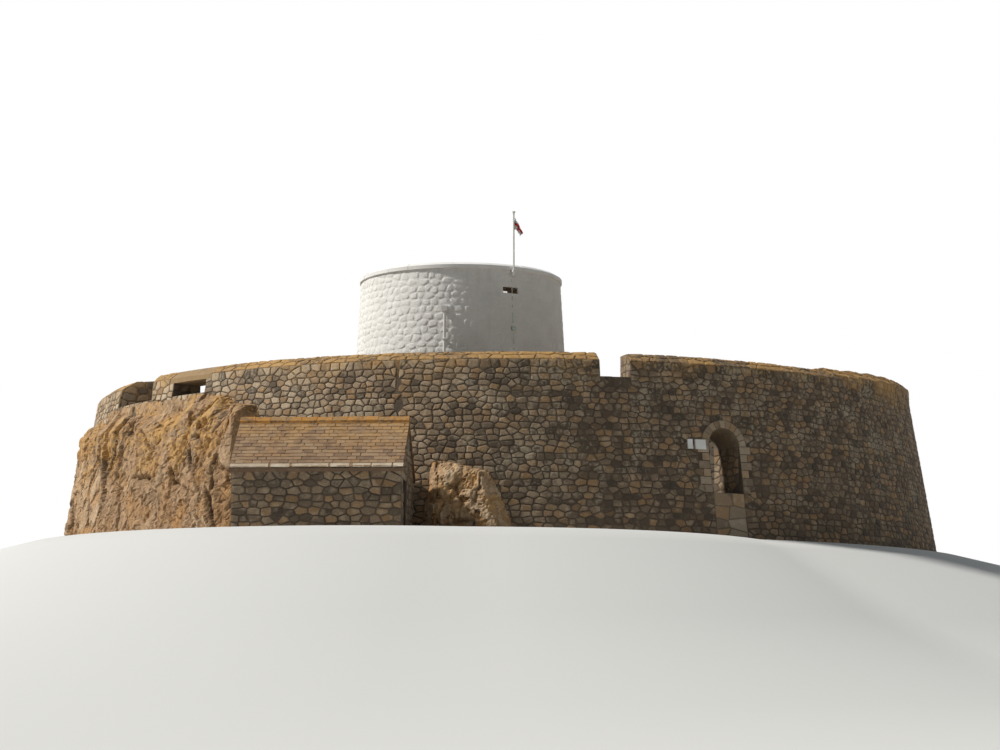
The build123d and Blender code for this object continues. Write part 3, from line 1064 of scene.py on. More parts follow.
def gate_jambs(joint=0.014, rows=6, short=0.30, long=0.46):
    """Cells of the long and short stones on both sides of the gate."""
    cells, height = [], (gate_spring - court_level) / rows
    for row in range(rows):
        low = court_level + row * height
        width = long if row % 2 else short
        grow, u = foot_radius / (foot_radius - wall_lean * low), arc(gate_bearing)
        for side in (-1, 1):
            start, end = sorted((u + side * gate_half * grow, u + side * (gate_half + width) * grow))
            foot, head = low + joint, low + height
            cells.append([(start, foot), (end - joint, foot), (end - joint, head), (start, head)])
    return cells


outer_openings += gate_jambs()
threshold_outline = outline_at(gate_bearing, (gate_half, gate_half), 0.0, court_level)
outer_openings.append(threshold_outline)
crack_bearing = -9.9
outer_openings.append(outline_at(crack_bearing, (0.045, 0.06), 5.0, 6.25))
outer_openings.append(disc(arc(crack_bearing + 0.3), 4.62, 0.17, 0.24, 10))
print("openings with the gate's stones", len(outer_openings))

# %% [markdown]
# The outer wall is one ring of cells, so its courses meet all round. Stones
# that the bedrock hides are left out. The wall is palest on its left and
# darkest on its right, as in the photograph. It is made in five lengths, so
# that no piece is too large to handle.

# %% Stones of the outer face
ring_start, ring_end = -252, 108
hidden_faces = (
    (-79, -73, 4.6),
    (-73, -61.5, 5.1),
    (-61.5, -37, 5.5),
    (-37, -29, 4.5),
    (-5.5, 1.5, 1.3),
)


def hidden_by_rock(cell):
    """True for a cell that lies wholly behind the bedrock."""
    degrees = math.degrees(middle(cell)[0] / foot_radius)
    top = max(p[1] for p in cell)
    return any(start < degrees < end and top < height for start, end, height in hidden_faces)


def painted_light_left_shade_right(u):
    """Painted light on the wall's left and painted shade on its right, as a tone factor."""
    return min(max(0.80 - 0.95 * math.sin(u / foot_radius + 0.21), deepest_painted_shade), 1.25)


outer_outline = band(ring_start, ring_end, 0.0, crest_edge)
outer_cells = stone_cells(outer_outline, 0.215, 1.6, 0.024, 11, outer_openings, closed=True)
outer_cells = [cell for cell in outer_cells if not hidden_by_rock(cell)]
outer_face = round_face(foot_radius, wall_lean)
wall_parts = {
    "left": (-108, -36),
    "front": (-36, 34.5),
    "right": (34.5, 108),
    "back_right": (-252, -180),
    "back_left": (-180, -108),
}
for part, (start, end) in wall_parts.items():
    chosen = [cell for cell in outer_cells if arc(start) <= middle(cell)[0] < arc(end)]
    walls = [(chosen, outer_face)]
    name = f"battery_stones_{part}"
    stones(name, walls, proud=0.034, seed=21, painted_light_and_shade=painted_light_left_shade_right, **granite_wall)
print("outer stones", len(outer_cells))

# %% [markdown]
# Dressed stones are flatter than rubble and have sharper edges, so their
# shoulder and top are nearly as wide as the stone. The arch ring stands out a
# little from the wall, and the threshold is laid in larger stones.

# %% Dressed stones of the gate
gate_grow = foot_radius / wall_radius(gate_spring)
gate_ring = wedge_ring(
    arc(gate_bearing), gate_spring, gate_half + 0.01, arch_radius, 11, 0.016, gate_grow
)
gate_walls = [
    (gate_ring, round_face(foot_radius + 0.04, wall_lean)),
    (gate_jambs(), outer_face),
    (stone_cells(threshold_outline, 0.4, 1.6, 0.03, 131), outer_face),
]
stones("gate_dressing", gate_walls, proud=0.03, seed=22, shoulder=0.97, top=0.86, **dressed_stone)
print("arch stones", len(gate_ring))

# %% [markdown]
# The crest sheds water: its outer edge slopes up to a flat top. Both are
# unrolled side by side into one layout, so that stones run over the bend. The
# embrasures, the slot and the notch cut across it.

# %% Layout of the crest
slope_run, slope_fall = crest_radius - crest_inner, crest_height - crest_edge
slope_length = math.hypot(slope_run, slope_fall)
crest_width = slope_length + crest_inner - parapet_inner


def crest_face(lift):
    """Placing function for the unrolled crest, from its outer edge inwards."""

    def place(u, v, out):
        share = min(v / slope_length, 1.0)
        flat = max(v - slope_length, 0.0)
        on_slope = v < slope_length
        way = (slope_fall / slope_length, slope_run / slope_length) if on_slope else (0.0, 1.0)
        radius = crest_radius - share * slope_run - flat + way[0] * out
        height = crest_edge + share * slope_fall + way[1] * out + lift
        return in_box(at_bearing(math.degrees(u / crest_radius), radius, height))

    return place


def crest_hole(degrees, outer, inner):
    """Opening across the crest, with its half widths at the two faces."""
    u = arc(degrees, crest_radius)
    inner = inner * crest_radius / parapet_inner
    low, high = -0.1, crest_width + 0.1
    return [(u - outer, low), (u + outer, low), (u + inner, high), (u - inner, high)]


crest_mouth_half = 1.46
both_turns = embrasures + [b + 360 for b in embrasures]
crest_holes = [crest_hole(b, crest_mouth_half, throat_half) for b in both_turns]
crest_holes.append(crest_hole(slot_bearing, lintel_half, lintel_half))
crest_holes.append(crest_hole(notch_bearing, notch_half, notch_half))
print("crest is wide", round(crest_width, 3), "holes", len(crest_holes))

# %% [markdown]
# On the right the crest climbs in eight low steps, each a course that is a
# little higher than the one before. Each step has its own capping, and small
# stones on its two upright faces.

# %% Stones of the crest
step_start, step_sweep, step_count = 50.2, 6.1, 8
first_lift, more_lift = 0.12, 0.08


def even_painted_shade(share):
    """Painted shade that is the same all over a wall, as a tone factor."""
    return lambda u: share


lengths = [(step_start + step_sweep * step_count - 360, step_start, 0.0)]
for i in range(step_count):
    start = step_start + i * step_sweep
    lengths.append((start, start + step_sweep, first_lift + more_lift * i))
crest_walls, step_walls = [], []
for order, (start, end, lift) in enumerate(lengths):
    outline = band(start, end, 0.0, crest_width, crest_radius)
    cells = stone_cells(outline, 0.31, 1.45, 0.022, 31 + order, crest_holes)
    crest_walls.append((cells, crest_face(lift)))
    if lift:
        course = min(lift, 0.2)
        outside = band(start, end, crest_edge, crest_edge + lift, crest_radius)
        cells = stone_cells(outside, course, 1.8, 0.02, 51 + order)
        step_walls.append((cells, round_face(crest_radius, 0.0)))
        inside = band(start, end, crest_height, crest_height + lift, parapet_inner, -1)
        cells = stone_cells(inside, course, 1.8, 0.02, 61 + order)
        step_walls.append((cells, round_face(parapet_inner, 0.0, inward=True)))
capped = {**granite_wall, "material": capping, "shoulder": 0.94, "top": 0.72}
stones("crest_stones", crest_walls, proud=0.035, seed=23, painted_light_and_shade=painted_light_left_shade_right, **capped)
# The step faces lie on the wall's shaded right, so their stones are darkened evenly: painted shade.
stones("crest_step_stones", step_walls, proud=0.03, seed=24, painted_light_and_shade=even_painted_shade(0.5), **granite_wall)
print("lengths of the crest", len(lengths))

# %% [markdown]
# Inside, the parapet and the front of the gun terrace have faces of smaller
# stones. The terrace stops on both sides of the gate. Its two ends there are
# seen through the arch, and their stones are very dark: painted shade.

# %% Stones of the inner faces
gap_start, gap_end = 20, 40
terrace_end = gap_start + 360
edging_drop = 0.1
inner_holes = battery_openings(parapet_inner, 0.0, -1, (throat_half, throat_half))
inner_holes += [[(u - arc(360, parapet_inner), v) for u, v in hole] for hole in inner_holes]
inner_walls, end_walls = [], []
for start, end, low in ((gap_start, gap_end, court_level), (gap_end, terrace_end, terrace_level)):
    outline = band(start, end, low, crest_height, parapet_inner, -1)
    cells = stone_cells(outline, 0.25, 1.6, 0.026, 71, inner_holes)
    inner_walls.append((cells, round_face(parapet_inner, 0.0, inward=True)))
outline = band(gap_end, terrace_end, court_level, terrace_level - edging_drop, terrace_inner, -1)
cells = stone_cells(outline, 0.27, 1.6, 0.026, 81)
inner_walls.append((cells, round_face(terrace_inner, 0.0, inward=True)))
end_width, end_height = parapet_inner - terrace_inner, terrace_level - court_level
end_outline = [(0, 0), (end_width, 0), (end_width, end_height), (0, end_height)]
for degrees, near, far in (
    (gap_end, terrace_inner, parapet_inner),
    (gap_start, parapet_inner, terrace_inner),
):
    corner, other = at_bearing(degrees, near, court_level), at_bearing(degrees, far, court_level)
    cells = stone_cells(end_outline, 0.26, 1.6, 0.026, 91)
    end_walls.append((cells, flat_face(corner, other - corner)))
stones("inner_face_stones", inner_walls, proud=0.03, seed=25, **granite_wall)
painted_shade_wall = {**granite_wall, "material": painted_shade_rubble}
stones("terrace_end_stones", end_walls, proud=0.03, seed=25, **painted_shade_wall)
print("faces inside", len(inner_walls), "ends", len(end_walls))

# %% [markdown]
# The two sides and the sill of an opening are laid in the same rubble, each
# on its own flat layout. An embrasure's sides spread towards the outside, so
# the layout of its sill is a wedge.


# %% Lining of an opening
def lining(degrees, halves, reach, bottom, outline, centre_x=0.0, head=None):
    """Two sides and the sill of an opening; halves and reach run from inside out.
    The outline is (share of the way out, height) and goes round one side."""
    out = at_bearing(degrees, 1.0, 0.0)
    right = Vector((-out.y, out.x, 0.0))
    near, far = (out * r + right * h for r, h in zip(reach, halves))
    near_left, far_left = (out * r - right * h for r, h in zip(reach, halves))
    run = (far - near).length
    level = Vector((centre_x, 0, bottom))
    facing = [(share * run, height - bottom) for share, height in outline]
    opposite = [(run - u, v) for u, v in reversed(facing)]
    depth = reach[1] - reach[0]
    sill = [(-halves[1], 0.0), (halves[1], 0.0), (halves[0], depth), (-halves[0], depth)]
    seed = int(1000 + degrees)
    right_side = flat_face(near + level, far - near)
    left_side = flat_face(far_left + level, near_left - far_left)
    faces = [
        (stone_cells(facing, 0.24, 1.5, 0.02, seed), right_side),
        (stone_cells(opposite, 0.24, 1.5, 0.02, seed + 1), left_side),
        (stone_cells(sill, 0.3, 1.5, 0.02, seed + 2), flat_face(out * reach[1] + level, right, -out)),
    ]
    if head is not None:
        over = [(-halves[0], 0.0), (halves[0], 0.0), (halves[1], depth), (-halves[1], depth)]
        origin = out * reach[0] + Vector((centre_x, 0, head))
        faces.append((stone_cells(over, 0.3, 1.5, 0.02, seed + 3), flat_face(origin, right, out)))
    return faces


trial_sides = lining(0.0, (0.5, 0.5), (1.0, 2.0), 0.0, [(0, 0), (1, 0), (1, 1), (0, 1)])
print("faces of a trial opening", len(trial_sides))

# %% [markdown]
# Every opening of the battery gets its lining, from the narrow throat of an
# embrasure to the passage of the gate. The loops in the tower's parapet are
# lined too, and have a stone head as well as a sill. Each outline below goes
# round one side, and its slope follows the crest.

# %% Linings of the openings
lining_depth, mouth_spread, crest_reach, gate_reach = 1.24, 1.05, 16.46, 16.8
embrasure_flare = mouth_spread / (wall_radius(embrasure_sill) - parapet_inner)
flared = (throat_half, throat_half + embrasure_flare * lining_depth)
embrasure_side = [(0.0, 5.52), (0.95, 5.52), (0.87, 6.2), (0.55, 6.48), (0.0, 6.48)]
slot_side = [(0, 5.52), (1, 5.52), (0.97, 6.01), (0, 6.01)]
notch_side = [(0, 5.62), (1, 5.62), (0.93, 6.2), (0.58, 6.48), (0, 6.48)]
gate_side = [(0, court_level), (1, court_level), (1, gate_spring), (0, gate_spring)]
linings = []
for degrees in embrasures:
    reach = (parapet_inner, parapet_inner + lining_depth)
    linings += lining(degrees, flared, reach, embrasure_sill, embrasure_side)
for degrees, half, end, bottom, outline in (
    (slot_bearing, slot_half, crest_reach, embrasure_sill, slot_side),
    (notch_bearing, notch_half, crest_reach, notch_sill, notch_side),
    (gate_bearing, gate_half, gate_reach, court_level, gate_side),
):
    linings += lining(degrees, (half, half), (parapet_inner, end), bottom, outline)

tower_x, tower_radius = -1.76, 4.66
loop_bearings, loop_half, loop_low, loop_high = (32.5, 152.5, 272.5), 0.35, 10.62, 10.87
loop_side = [(0, 10.63), (1, 10.63), (1, 10.86), (0, 10.86)]
loop_reach = (3.26, 4.04)
for degrees in loop_bearings:
    halves = (loop_half, loop_half)
    linings += lining(degrees, halves, loop_reach, loop_low, loop_side, tower_x, loop_high)
# The linings, also those of the white tower's loops, are granite without lichen, darkened evenly:
# painted shade inside the openings.
shaded_wall = {**granite_wall, "material": shaded_rubble}
stones("opening_linings", linings, proud=0.02, seed=26, painted_light_and_shade=even_painted_shade(0.55), **shaded_wall)
print("faces lined", len(linings))

# %% [markdown]
# The court, the gun terrace and the gun platform on the tower are paved with
# worn flags. Their cells are larger, nearly flat, and lie on level layouts:
# straight ones for the court and the platform, which are discs, and a bent
# one for the terrace, so that its joints run round with the wall.


# %% Layouts of the floors
def ring_floor(outer, height):
    """Placing function for a level ring; v runs inwards from its outer edge."""

    def place(u, v, out):
        return in_box(at_bearing(math.degrees(u / outer), outer - v, height + out))

    return place


def level_floor(height):
    def place(u, v, out):
        return in_box(Vector((u, v, height + out)))

    return place


platform_level, platform_radius = 10.0, 3.25
terrace_width, way_width = 3.1, 3.55
round_tower = disc(tower_x, 0, tower_radius, tower_radius, 32)
court_outline = disc(0, 0, terrace_inner, terrace_inner, 72)
court_cells = stone_cells(court_outline, 0.46, 1.35, 0.02, 101, [round_tower])
way_outline = band(gap_start, gap_end, 0.0, way_width, parapet_inner)
way_cells = stone_cells(way_outline, 0.46, 1.35, 0.02, 102)
terrace_outline = band(gap_end, terrace_end, 0.0, terrace_width, parapet_inner)
terrace_cells = stone_cells(terrace_outline, 0.48, 1.4, 0.02, 103)
platform_outline = disc(tower_x, 0, platform_radius, platform_radius, 40)
platform_cells = stone_cells(platform_outline, 0.42, 1.4, 0.018, 104)
print("flags in the court", len(court_cells), "on the terrace", len(terrace_cells))

# %% [markdown]
# Flags are worn smooth by feet, so they stand up only two centimetres and
# their tops are nearly as wide as their bases.

# %% Paving
paved = [
    (court_cells, level_floor(court_level)),
    (way_cells, ring_floor(parapet_inner, court_level)),
    (terrace_cells, ring_floor(parapet_inner, terrace_level)),
]
worn_flat = {"material": paving, "slot": "court_stone", "shoulder": 0.975, "top": 0.93}
stones("paving_flags", paved, proud=0.022, seed=27, **worn_flat)
platform_floor = [(platform_cells, level_floor(platform_level))]
stones("platform_flags", platform_floor, proud=0.02, seed=28, **worn_flat)
print("floors paved", len(paved) + len(platform_floor))

# %% [markdown]
# The tower's wall is rubble under many coats of limewash. Its stones are the
# same as the battery's, but only swell a little from the white skin, with no
# sharp edge: they are low, narrow at the top and shaded smooth.

# %% Stones of the tower
tower_batter = 0.57 / 10.15
tower_foot = tower_radius + tower_batter * court_level
parapet_top, door_bearing = 11.56, 30
tower_face = {"foot": tower_foot, "lean": tower_batter}
tower_holes = []
for turn in (-360, 0):
    door_hole = outline_at(door_bearing + turn, (0.475, 0.44), 5.0, 6.85, **tower_face)
    tower_holes.append(door_hole)
    for degrees in (-90, 90):
        tower_holes.append(outline_at(degrees + turn, (0.3, 0.27), 5.95, 6.7, **tower_face))
    for degrees in loop_bearings:
        halves = (loop_half, loop_half)
        tower_holes.append(outline_at(degrees + turn, halves, loop_low, loop_high, **tower_face))
tower_outline = band(ring_start, ring_end, court_level, parapet_top, tower_foot)
tower_cells = stone_cells(tower_outline, 0.27, 1.5, 0.03, 111, tower_holes, closed=True)
tower_walls = [(tower_cells, round_face(tower_foot, tower_batter, centre_x=tower_x))]
softened = {"shoulder": 0.82, "top": 0.5, "smooth": True}
white_wall = {"material": limewash, "slot": "white_render"}
stones("tower_stones", tower_walls, proud=0.014, seed=29, **softened, **white_wall)
print("stones of the tower", len(tower_cells))

# %% [markdown]
# The outbuilding is built of the same rubble. Its doorway is in the right
# gable, under one long head stone, and its back wall faces the battery. Each
# wall is laid out flat from its left corner, as seen from outside.

# %% Walls of the outbuilding
house_low, house_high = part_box("house_left_gable")
house_left, house_right = house_low.x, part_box("house_right_gable")[1].x
house_front, house_back, house_eave = house_low.y, house_high.y, 1.95
width, depth, gable_peak = house_right - house_left, house_back - house_front, house_high.z
peak = (depth / 2, gable_peak - 0.02)
gable_outline = [(0, 0), (depth, 0), (depth, house_eave), peak, (0, house_eave)]
long_outline = [(0, 0), (width, 0), (width, house_eave - 0.02), (0, house_eave - 0.02)]
doorway = [(0.65, -0.1), (1.55, -0.1), (1.55, 1.65), (0.65, 1.65)]
head_stone = [(0.47, 1.66), (1.73, 1.66), (1.73, 1.86), (0.47, 1.86)]
front_face = flat_face((house_left, house_front, 0), (1, 0, 0))
back_face = flat_face((house_right, house_back, 0), (-1, 0, 0))
left_face = flat_face((house_left, house_back, 0), (0, -1, 0))
right_face = flat_face((house_right, house_front, 0), (0, 1, 0))
print("outbuilding", round(width, 2), "by", round(depth, 2))

# %% [markdown]
# The stones of the outbuilding have the same mean tone from end to end,
# because its walls are too short to change along them; that tone is darkened
# as painted shade. The head stone is one dressed block, nearly flat, over
# the doorway.

# %% Stones of the outbuilding
house_walls = [
    (stone_cells(long_outline, 0.23, 1.6, 0.026, 121), front_face),
    (stone_cells(long_outline, 0.23, 1.6, 0.026, 122), back_face),
    (stone_cells(gable_outline, 0.23, 1.6, 0.026, 123), left_face),
    (stone_cells(gable_outline, 0.23, 1.6, 0.026, 124, [doorway, head_stone]), right_face),
]
house_wall = {"material": rubble, "slot": "house_rubble"}
stones("house_stones", house_walls, proud=0.03, seed=30, painted_light_and_shade=even_painted_shade(0.5), **house_wall)
head_wall = [([head_stone], right_face)]
nearly_flat = {"shoulder": 0.985, "top": 0.95}
stones("house_door_head", head_wall, proud=0.035, seed=31, **nearly_flat, **dressed_stone)
print("stones of the outbuilding", sum(len(cells) for cells, face in house_walls))

# %% [markdown]
# Larger single blocks, such as the coping of the tower, are made as a skin
# between closed loops of points. Each loop goes up the front of the block and
# down its back, and the loops follow each other from left to right.


# %% Blocks between loops
def lofted(loops):
    """Points and faces of a closed block skinned over loops of equal length."""
    size = len(loops[0])
    points = [p for loop in loops for p in loop]
    faces = [tuple(range(size)), tuple(reversed(range(len(points) - size, len(points))))]
    for row in range(len(loops) - 1):
        for i in range(size):
            a, b = row * size + i, row * size + (i + 1) % size
            faces.append((a, a + size, b + size, b))
    return points, faces


def blocks(name, many, seed, material, slot):
    """One piece from many lofted blocks, each with its own stored tone."""
    chance = random.Random(seed)
    points, faces, stored = [], [], []
    for loops in many:
        own_points, own_faces = lofted(loops)
        first = len(points)
        points += [in_box(Vector(p)) for p in own_points]
        faces += [tuple(first + i for i in face) for face in own_faces]
        stored += [chance.random(), chance.random(), 0.85, 1.0] * len(own_points)
    made = new_object(name, points, faces, material)
    store_tones(made, stored)
    return fasten(made, slot)


def bent_block(profile, start, end, steps, centre_x=0.0):
    """Loops of a block whose (radius, height) profile is swept between bearings."""
    loops = []
    for i in range(steps + 1):
        degrees = start + (end - start) * i / steps
        loops.append([at_bearing(degrees, radius, height, centre_x) for radius, height in profile])
    return loops


print("faces of a box from two loops", len(lofted([[(0, 0, 0)] * 4, [(1, 0, 0)] * 4])[1]))

# %% [markdown]
# The coping is a ring of long white stones on the parapet, bevelled outside.
# They were set by hand, so each stands out by a few millimetres of its own.

# %% Coping of the tower
chance = random.Random(41)
coping_count, coping_joint = 27, 0.16
coping_outer, coping_inner, bevel_radius = 4.163, 3.245, 3.99
coping_foot, coping_bed, bevel_foot, coping_top = 11.565, 11.575, 11.705, 11.8
coping_blocks = []
for i in range(coping_count):
    start, end = (360 / coping_count * (i + part) for part in (0, 1))
    proud = chance.uniform(0.004, 0.014)
    profile = [
        (coping_outer + proud, coping_foot),
        (coping_outer + proud, bevel_foot),
        (bevel_radius + proud, coping_top + proud),
        (coping_inner, coping_top + proud),
        (coping_inner, coping_bed),
    ]
    start, end = start + coping_joint / 2, end - coping_joint / 2
    coping_blocks.append(bent_block(profile, start, end, 5, tower_x))
blocks("coping_blocks", coping_blocks, 42, white_coping, "white_coping")
print("coping stones", len(coping_blocks))

# %% [markdown]
# The ridge of the outbuilding is a row of rough stones bedded over both
# slopes. Each block has three loops, and its width and height change a little
# from one to the next.

# %% Ridge of the outbuilding
ridge_low, ridge_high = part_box("house_ridge")
ridge_y, ridge_drop = (ridge_low.y + ridge_high.y) / 2, math.tan(math.radians(37.5))
ridge_blocks, ridge_count = [], 11
under = ridge_high.z - 0.10
for i in range(ridge_count):
    reach = ridge_high.x - ridge_low.x
    start, end = (ridge_low.x + reach * (i + part) / ridge_count for part in (0.012, 0.988))
    loops = []
    for x in (start, (start + end) / 2 + chance.uniform(-0.05, 0.05), end):
        half = 0.185 + chance.uniform(-0.012, 0.012)
        top = ridge_high.z + chance.uniform(0.004, 0.03)
        shoulder = top - 0.02 - half * 0.9 * ridge_drop
        loops.append(
            [
                (x, ridge_y - half, under - half * ridge_drop),
                (x, ridge_y - half * 0.94, shoulder),
                (x, ridge_y - 0.05, top - 0.015),
                (x, ridge_y + 0.05, top - 0.015),
                (x, ridge_y + half * 0.94, shoulder),
                (x, ridge_y + half, under - half * ridge_drop),
            ]
        )
    ridge_blocks.append(loops)
blocks("ridge_blocks", ridge_blocks, 43, ridge_stone, "ridge_stone")
print("ridge stones", len(ridge_blocks))

# %% [markdown]
# Two small plates hang on the wall beside the gate. They are left blank. The
# earth tape on the tower is held by four thin clips and one thick clamp. Each
# is a short bent block, and its radius follows the leaning wall.

# %% Plates and clips
plate_bearings, plate_low, plate_high, plate_thick = ((25.0, 25.62), (25.98, 27.36)), 3.16, 3.5, 0.09
plates = []
for start, end in plate_bearings:
    low_radius, high_radius = wall_radius(plate_low), wall_radius(plate_high)
    profile = [
        (low_radius + plate_thick, plate_low),
        (high_radius + plate_thick, plate_high),
        (high_radius, plate_high),
        (low_radius, plate_low),
    ]
    plates.append(bent_block(profile, start, end, 3))
blocks("blank_plates", plates, 44, white_paint, "white_metal")

tape_bearing, tape_front = 33.3, 0.02
clip_sizes = [(height, 0.7, 0.05, 0.014) for height in (2.7, 4.4, 6.1, 7.7)]
clip_sizes.append((9.12, 1.2, 0.15, 0.05))
clips = []
for height, half, tall, thick in clip_sizes:
    radius = tower_foot - tower_batter * height
    front, back = radius + tape_front + thick, radius - 0.01
    profile = [(front, height), (front, height + tall), (back, height + tall), (back, height)]
    clips.append(bent_block(profile, tape_bearing - half, tape_bearing + half, 2, tower_x))
blocks("tape_clips", clips, 45, tape_metal, "earth_tape")
print("plates", len(plates), "clips", len(clips))

# %% [markdown]
# Slates, planks and edging stones repeat many times, so Geometry Nodes grow
# them. One group lays slabs in rows, and another lays them round a ring. Both
# give each slab a slightly different size, turn and tone, from a fixed seed.
# The random numbers and the vectors of these groups have a helper each.

# %% Random values and vectors in Geometry Nodes
whole, triple = "NodeSocketInt", "NodeSocketVector"
shape, surface = "NodeSocketGeometry", "NodeSocketMaterial"


def varied(tree, seed, step, low, high):
    """Random number or vector for each slab; each step gives other values."""
    kind, first = ("FLOAT_VECTOR", 0) if isinstance(low, tuple) else ("FLOAT", 2)
    made = add(tree, "FunctionNodeRandomValue", data_type=kind)
    made.inputs[first].default_value, made.inputs[first + 1].default_value = low, high
    tree.links.new(maths(tree, "ADD", seed, step), made.inputs["Seed"])
    return made.outputs[0 if first == 0 else 1]


def vector_of(tree, *values):
    made = add(tree, "ShaderNodeCombineXYZ")
    for socket, value in zip(made.inputs, values):
        feed(tree, value, socket)
    return made.outputs[0]


print("socket kinds", whole, triple, shape, surface)

# %% [markdown]
# Both groups end in the same way. A slab is put on each point, turned and
# scaled; its tone is stored on it; then all slabs are realized as one mesh and
# given their material. The sockets that both groups share are listed once.


# %% Shared end of the slab groups
def lay_slabs(tree, start, end, count, place, turn):
    """Slabs on points, with their own tones, realized and painted."""
    get, seed = start.outputs, start.outputs["Seed"]
    points = add(tree, "GeometryNodePoints")
    tree.links.new(count, points.inputs["Count"])
    tree.links.new(place, points.inputs["Position"])
    slab = add(tree, "GeometryNodeMeshCube", {"Vertices X": 3})
    tree.links.new(get["Size"], slab.inputs["Size"])
    laid = add(tree, "GeometryNodeInstanceOnPoints")
    tree.links.new(points.outputs[0], laid.inputs["Points"])
    tree.links.new(slab.outputs[0], laid.inputs["Instance"])
    tree.links.new(turn, laid.inputs["Rotation"])
    sizes = varied(tree, seed, 7, (0.86, 0.92, 0.8), (1.0, 1.05, 1.2))
    tree.links.new(sizes, laid.inputs["Scale"])
    tone, warmth = varied(tree, seed, 8, 0.0, 1.0), varied(tree, seed, 9, 0.0, 1.0)
    stored = add(
        tree, "GeometryNodeStoreNamedAttribute", data_type="FLOAT_COLOR", domain="INSTANCE"
    )
    stored.inputs["Name"].default_value = "stone"
    tree.links.new(laid.outputs[0], stored.inputs["Geometry"])
    value_socket = next(i for i in stored.inputs if i.name == "Value" and i.enabled)
    tree.links.new(vector_of(tree, tone, warmth, 0.85), value_socket)
    real = add(tree, "GeometryNodeRealizeInstances")
    tree.links.new(stored.outputs[0], real.inputs[0])
    painted = add(tree, "GeometryNodeSetMaterial")
    tree.links.new(real.outputs[0], painted.inputs["Geometry"])
    tree.links.new(get["Material"], painted.inputs["Material"])
    tree.links.new(painted.outputs[0], end.inputs[0])
    return tree


slab_sockets = [
    ("Size", triple, (0.25, 0.3, 0.02)),
    ("Tilt", number, 0.0),
    ("Seed", whole, 1),
    ("Material", surface),
]
print("sockets of a slab", [label for label, *rest in slab_sockets])

# %% [markdown]
# In the rows group, a slab's index gives its column and its row, and every
# second row is shifted by half a slab, as slates are, so that a joint never
# lies over another one.


# %% Rows of slabs
def make_rows_group():
    sockets = [
        ("Rows", whole, 8),
        ("Columns", whole, 12),
        ("Row Gap", number, 0.2),
        ("Column Gap", number, 0.25),
    ]
    tree, start, end = open_group(
        "slab_rows", "GeometryNodeTree", sockets + slab_sockets, [("Geometry", shape)]
    )
    get, seed = start.outputs, start.outputs["Seed"]
    index = add(tree, "GeometryNodeInputIndex").outputs[0]
    column = maths(tree, "MODULO", index, get["Columns"])
    row = maths(tree, "FLOOR", maths(tree, "DIVIDE", index, get["Columns"]))
    shift = maths(tree, "MULTIPLY", maths(tree, "MODULO", row, 2.0), 0.5)
    shifted = maths(tree, "ADD", column, shift)
    across = maths(tree, "ADD", shifted, varied(tree, seed, 1, -0.08, 0.08))
    along = maths(tree, "ADD", row, varied(tree, seed, 2, -0.05, 0.05))
    place = vector_of(
        tree,
        maths(tree, "MULTIPLY", across, get["Column Gap"]),
        maths(tree, "MULTIPLY", along, get["Row Gap"]),
        varied(tree, seed, 3, 0.0, 0.006),
    )
    turn = vector_of(
        tree,
        maths(tree, "ADD", get["Tilt"], varied(tree, seed, 4, -0.015, 0.015)),
        varied(tree, seed, 5, -0.015, 0.015),
        varied(tree, seed, 6, -0.03, 0.03),
    )
    count = maths(tree, "MULTIPLY", get["Rows"], get["Columns"])
    return lay_slabs(tree, start, end, count, place, turn)


rows_group = make_rows_group()
print("group", rows_group.name, "nodes", len(rows_group.nodes))

# %% [markdown]
# In the ring group, the index gives the bearing, and sine and cosine turn the
# bearing and the radius into a place. Each slab is turned to face outwards.


# %% Ring of slabs
def make_ring_group():
    sockets = [
        ("Count", whole, 12),
        ("Radius", number, 5.0),
        ("First", number, 0.0),
        ("Step", number, 0.1),
    ]
    tree, start, end = open_group(
        "slab_ring", "GeometryNodeTree", sockets + slab_sockets, [("Geometry", shape)]
    )
    get, seed = start.outputs, start.outputs["Seed"]
    index = add(tree, "GeometryNodeInputIndex").outputs[0]
    angle = maths(tree, "ADD", get["First"], maths(tree, "MULTIPLY", index, get["Step"]))
    radius = maths(tree, "ADD", get["Radius"], varied(tree, seed, 1, -0.015, 0.015))
    forward = maths(tree, "MULTIPLY", radius, maths(tree, "COSINE", angle))
    place = vector_of(
        tree,
        maths(tree, "MULTIPLY", radius, maths(tree, "SINE", angle)),
        maths(tree, "MULTIPLY", forward, -1.0),
        varied(tree, seed, 2, -0.008, 0.008),
    )
    heading = maths(tree, "ADD", angle, varied(tree, seed, 3, -0.015, 0.015))
    turn = vector_of(tree, get["Tilt"], 0.0, heading)
    return lay_slabs(tree, start, end, get["Count"], place, turn)


ring_group = make_ring_group()
print("group", ring_group.name, "nodes", len(ring_group.nodes))

# %% [markdown]
# A group's inputs are set by name on a modifier, and the result is kept as a
# plain mesh. It is grown flat near the origin, where limits can cut off what
# runs past the roof's edges, and a matrix then carries it to its place.


# %% Grow a piece and carry it to its place
def grown(name, group, values, matrix, slot, limits=None):
    """Piece that a node group grows, moved by a matrix after it is a plain mesh."""
    holder = bpy.data.objects.new(name, bpy.data.meshes.new(f"{name}_start"))
    bpy.context.scene.collection.objects.link(holder)
    modifier = holder.modifiers.new("grow", "NODES")
    modifier.node_group = group
    names = {i.name: i.identifier for i in group.interface.items_tree if i.in_out == "INPUT"}
    for label, value in values.items():
        modifier[names[label]] = value
    bpy.context.view_layer.update()
    evaluated = holder.evaluated_get(bpy.context.evaluated_depsgraph_get())
    mesh = bpy.data.meshes.new_from_object(evaluated)
    holder.modifiers.clear()
    for vertex in mesh.vertices:
        if limits:
            vertex.co.x = min(max(vertex.co.x, limits[0]), limits[1])
            vertex.co.y = min(max(vertex.co.y, limits[2]), limits[3])
        vertex.co = in_box(matrix @ vertex.co)
    holder.data = mesh
    return fasten(holder, slot)


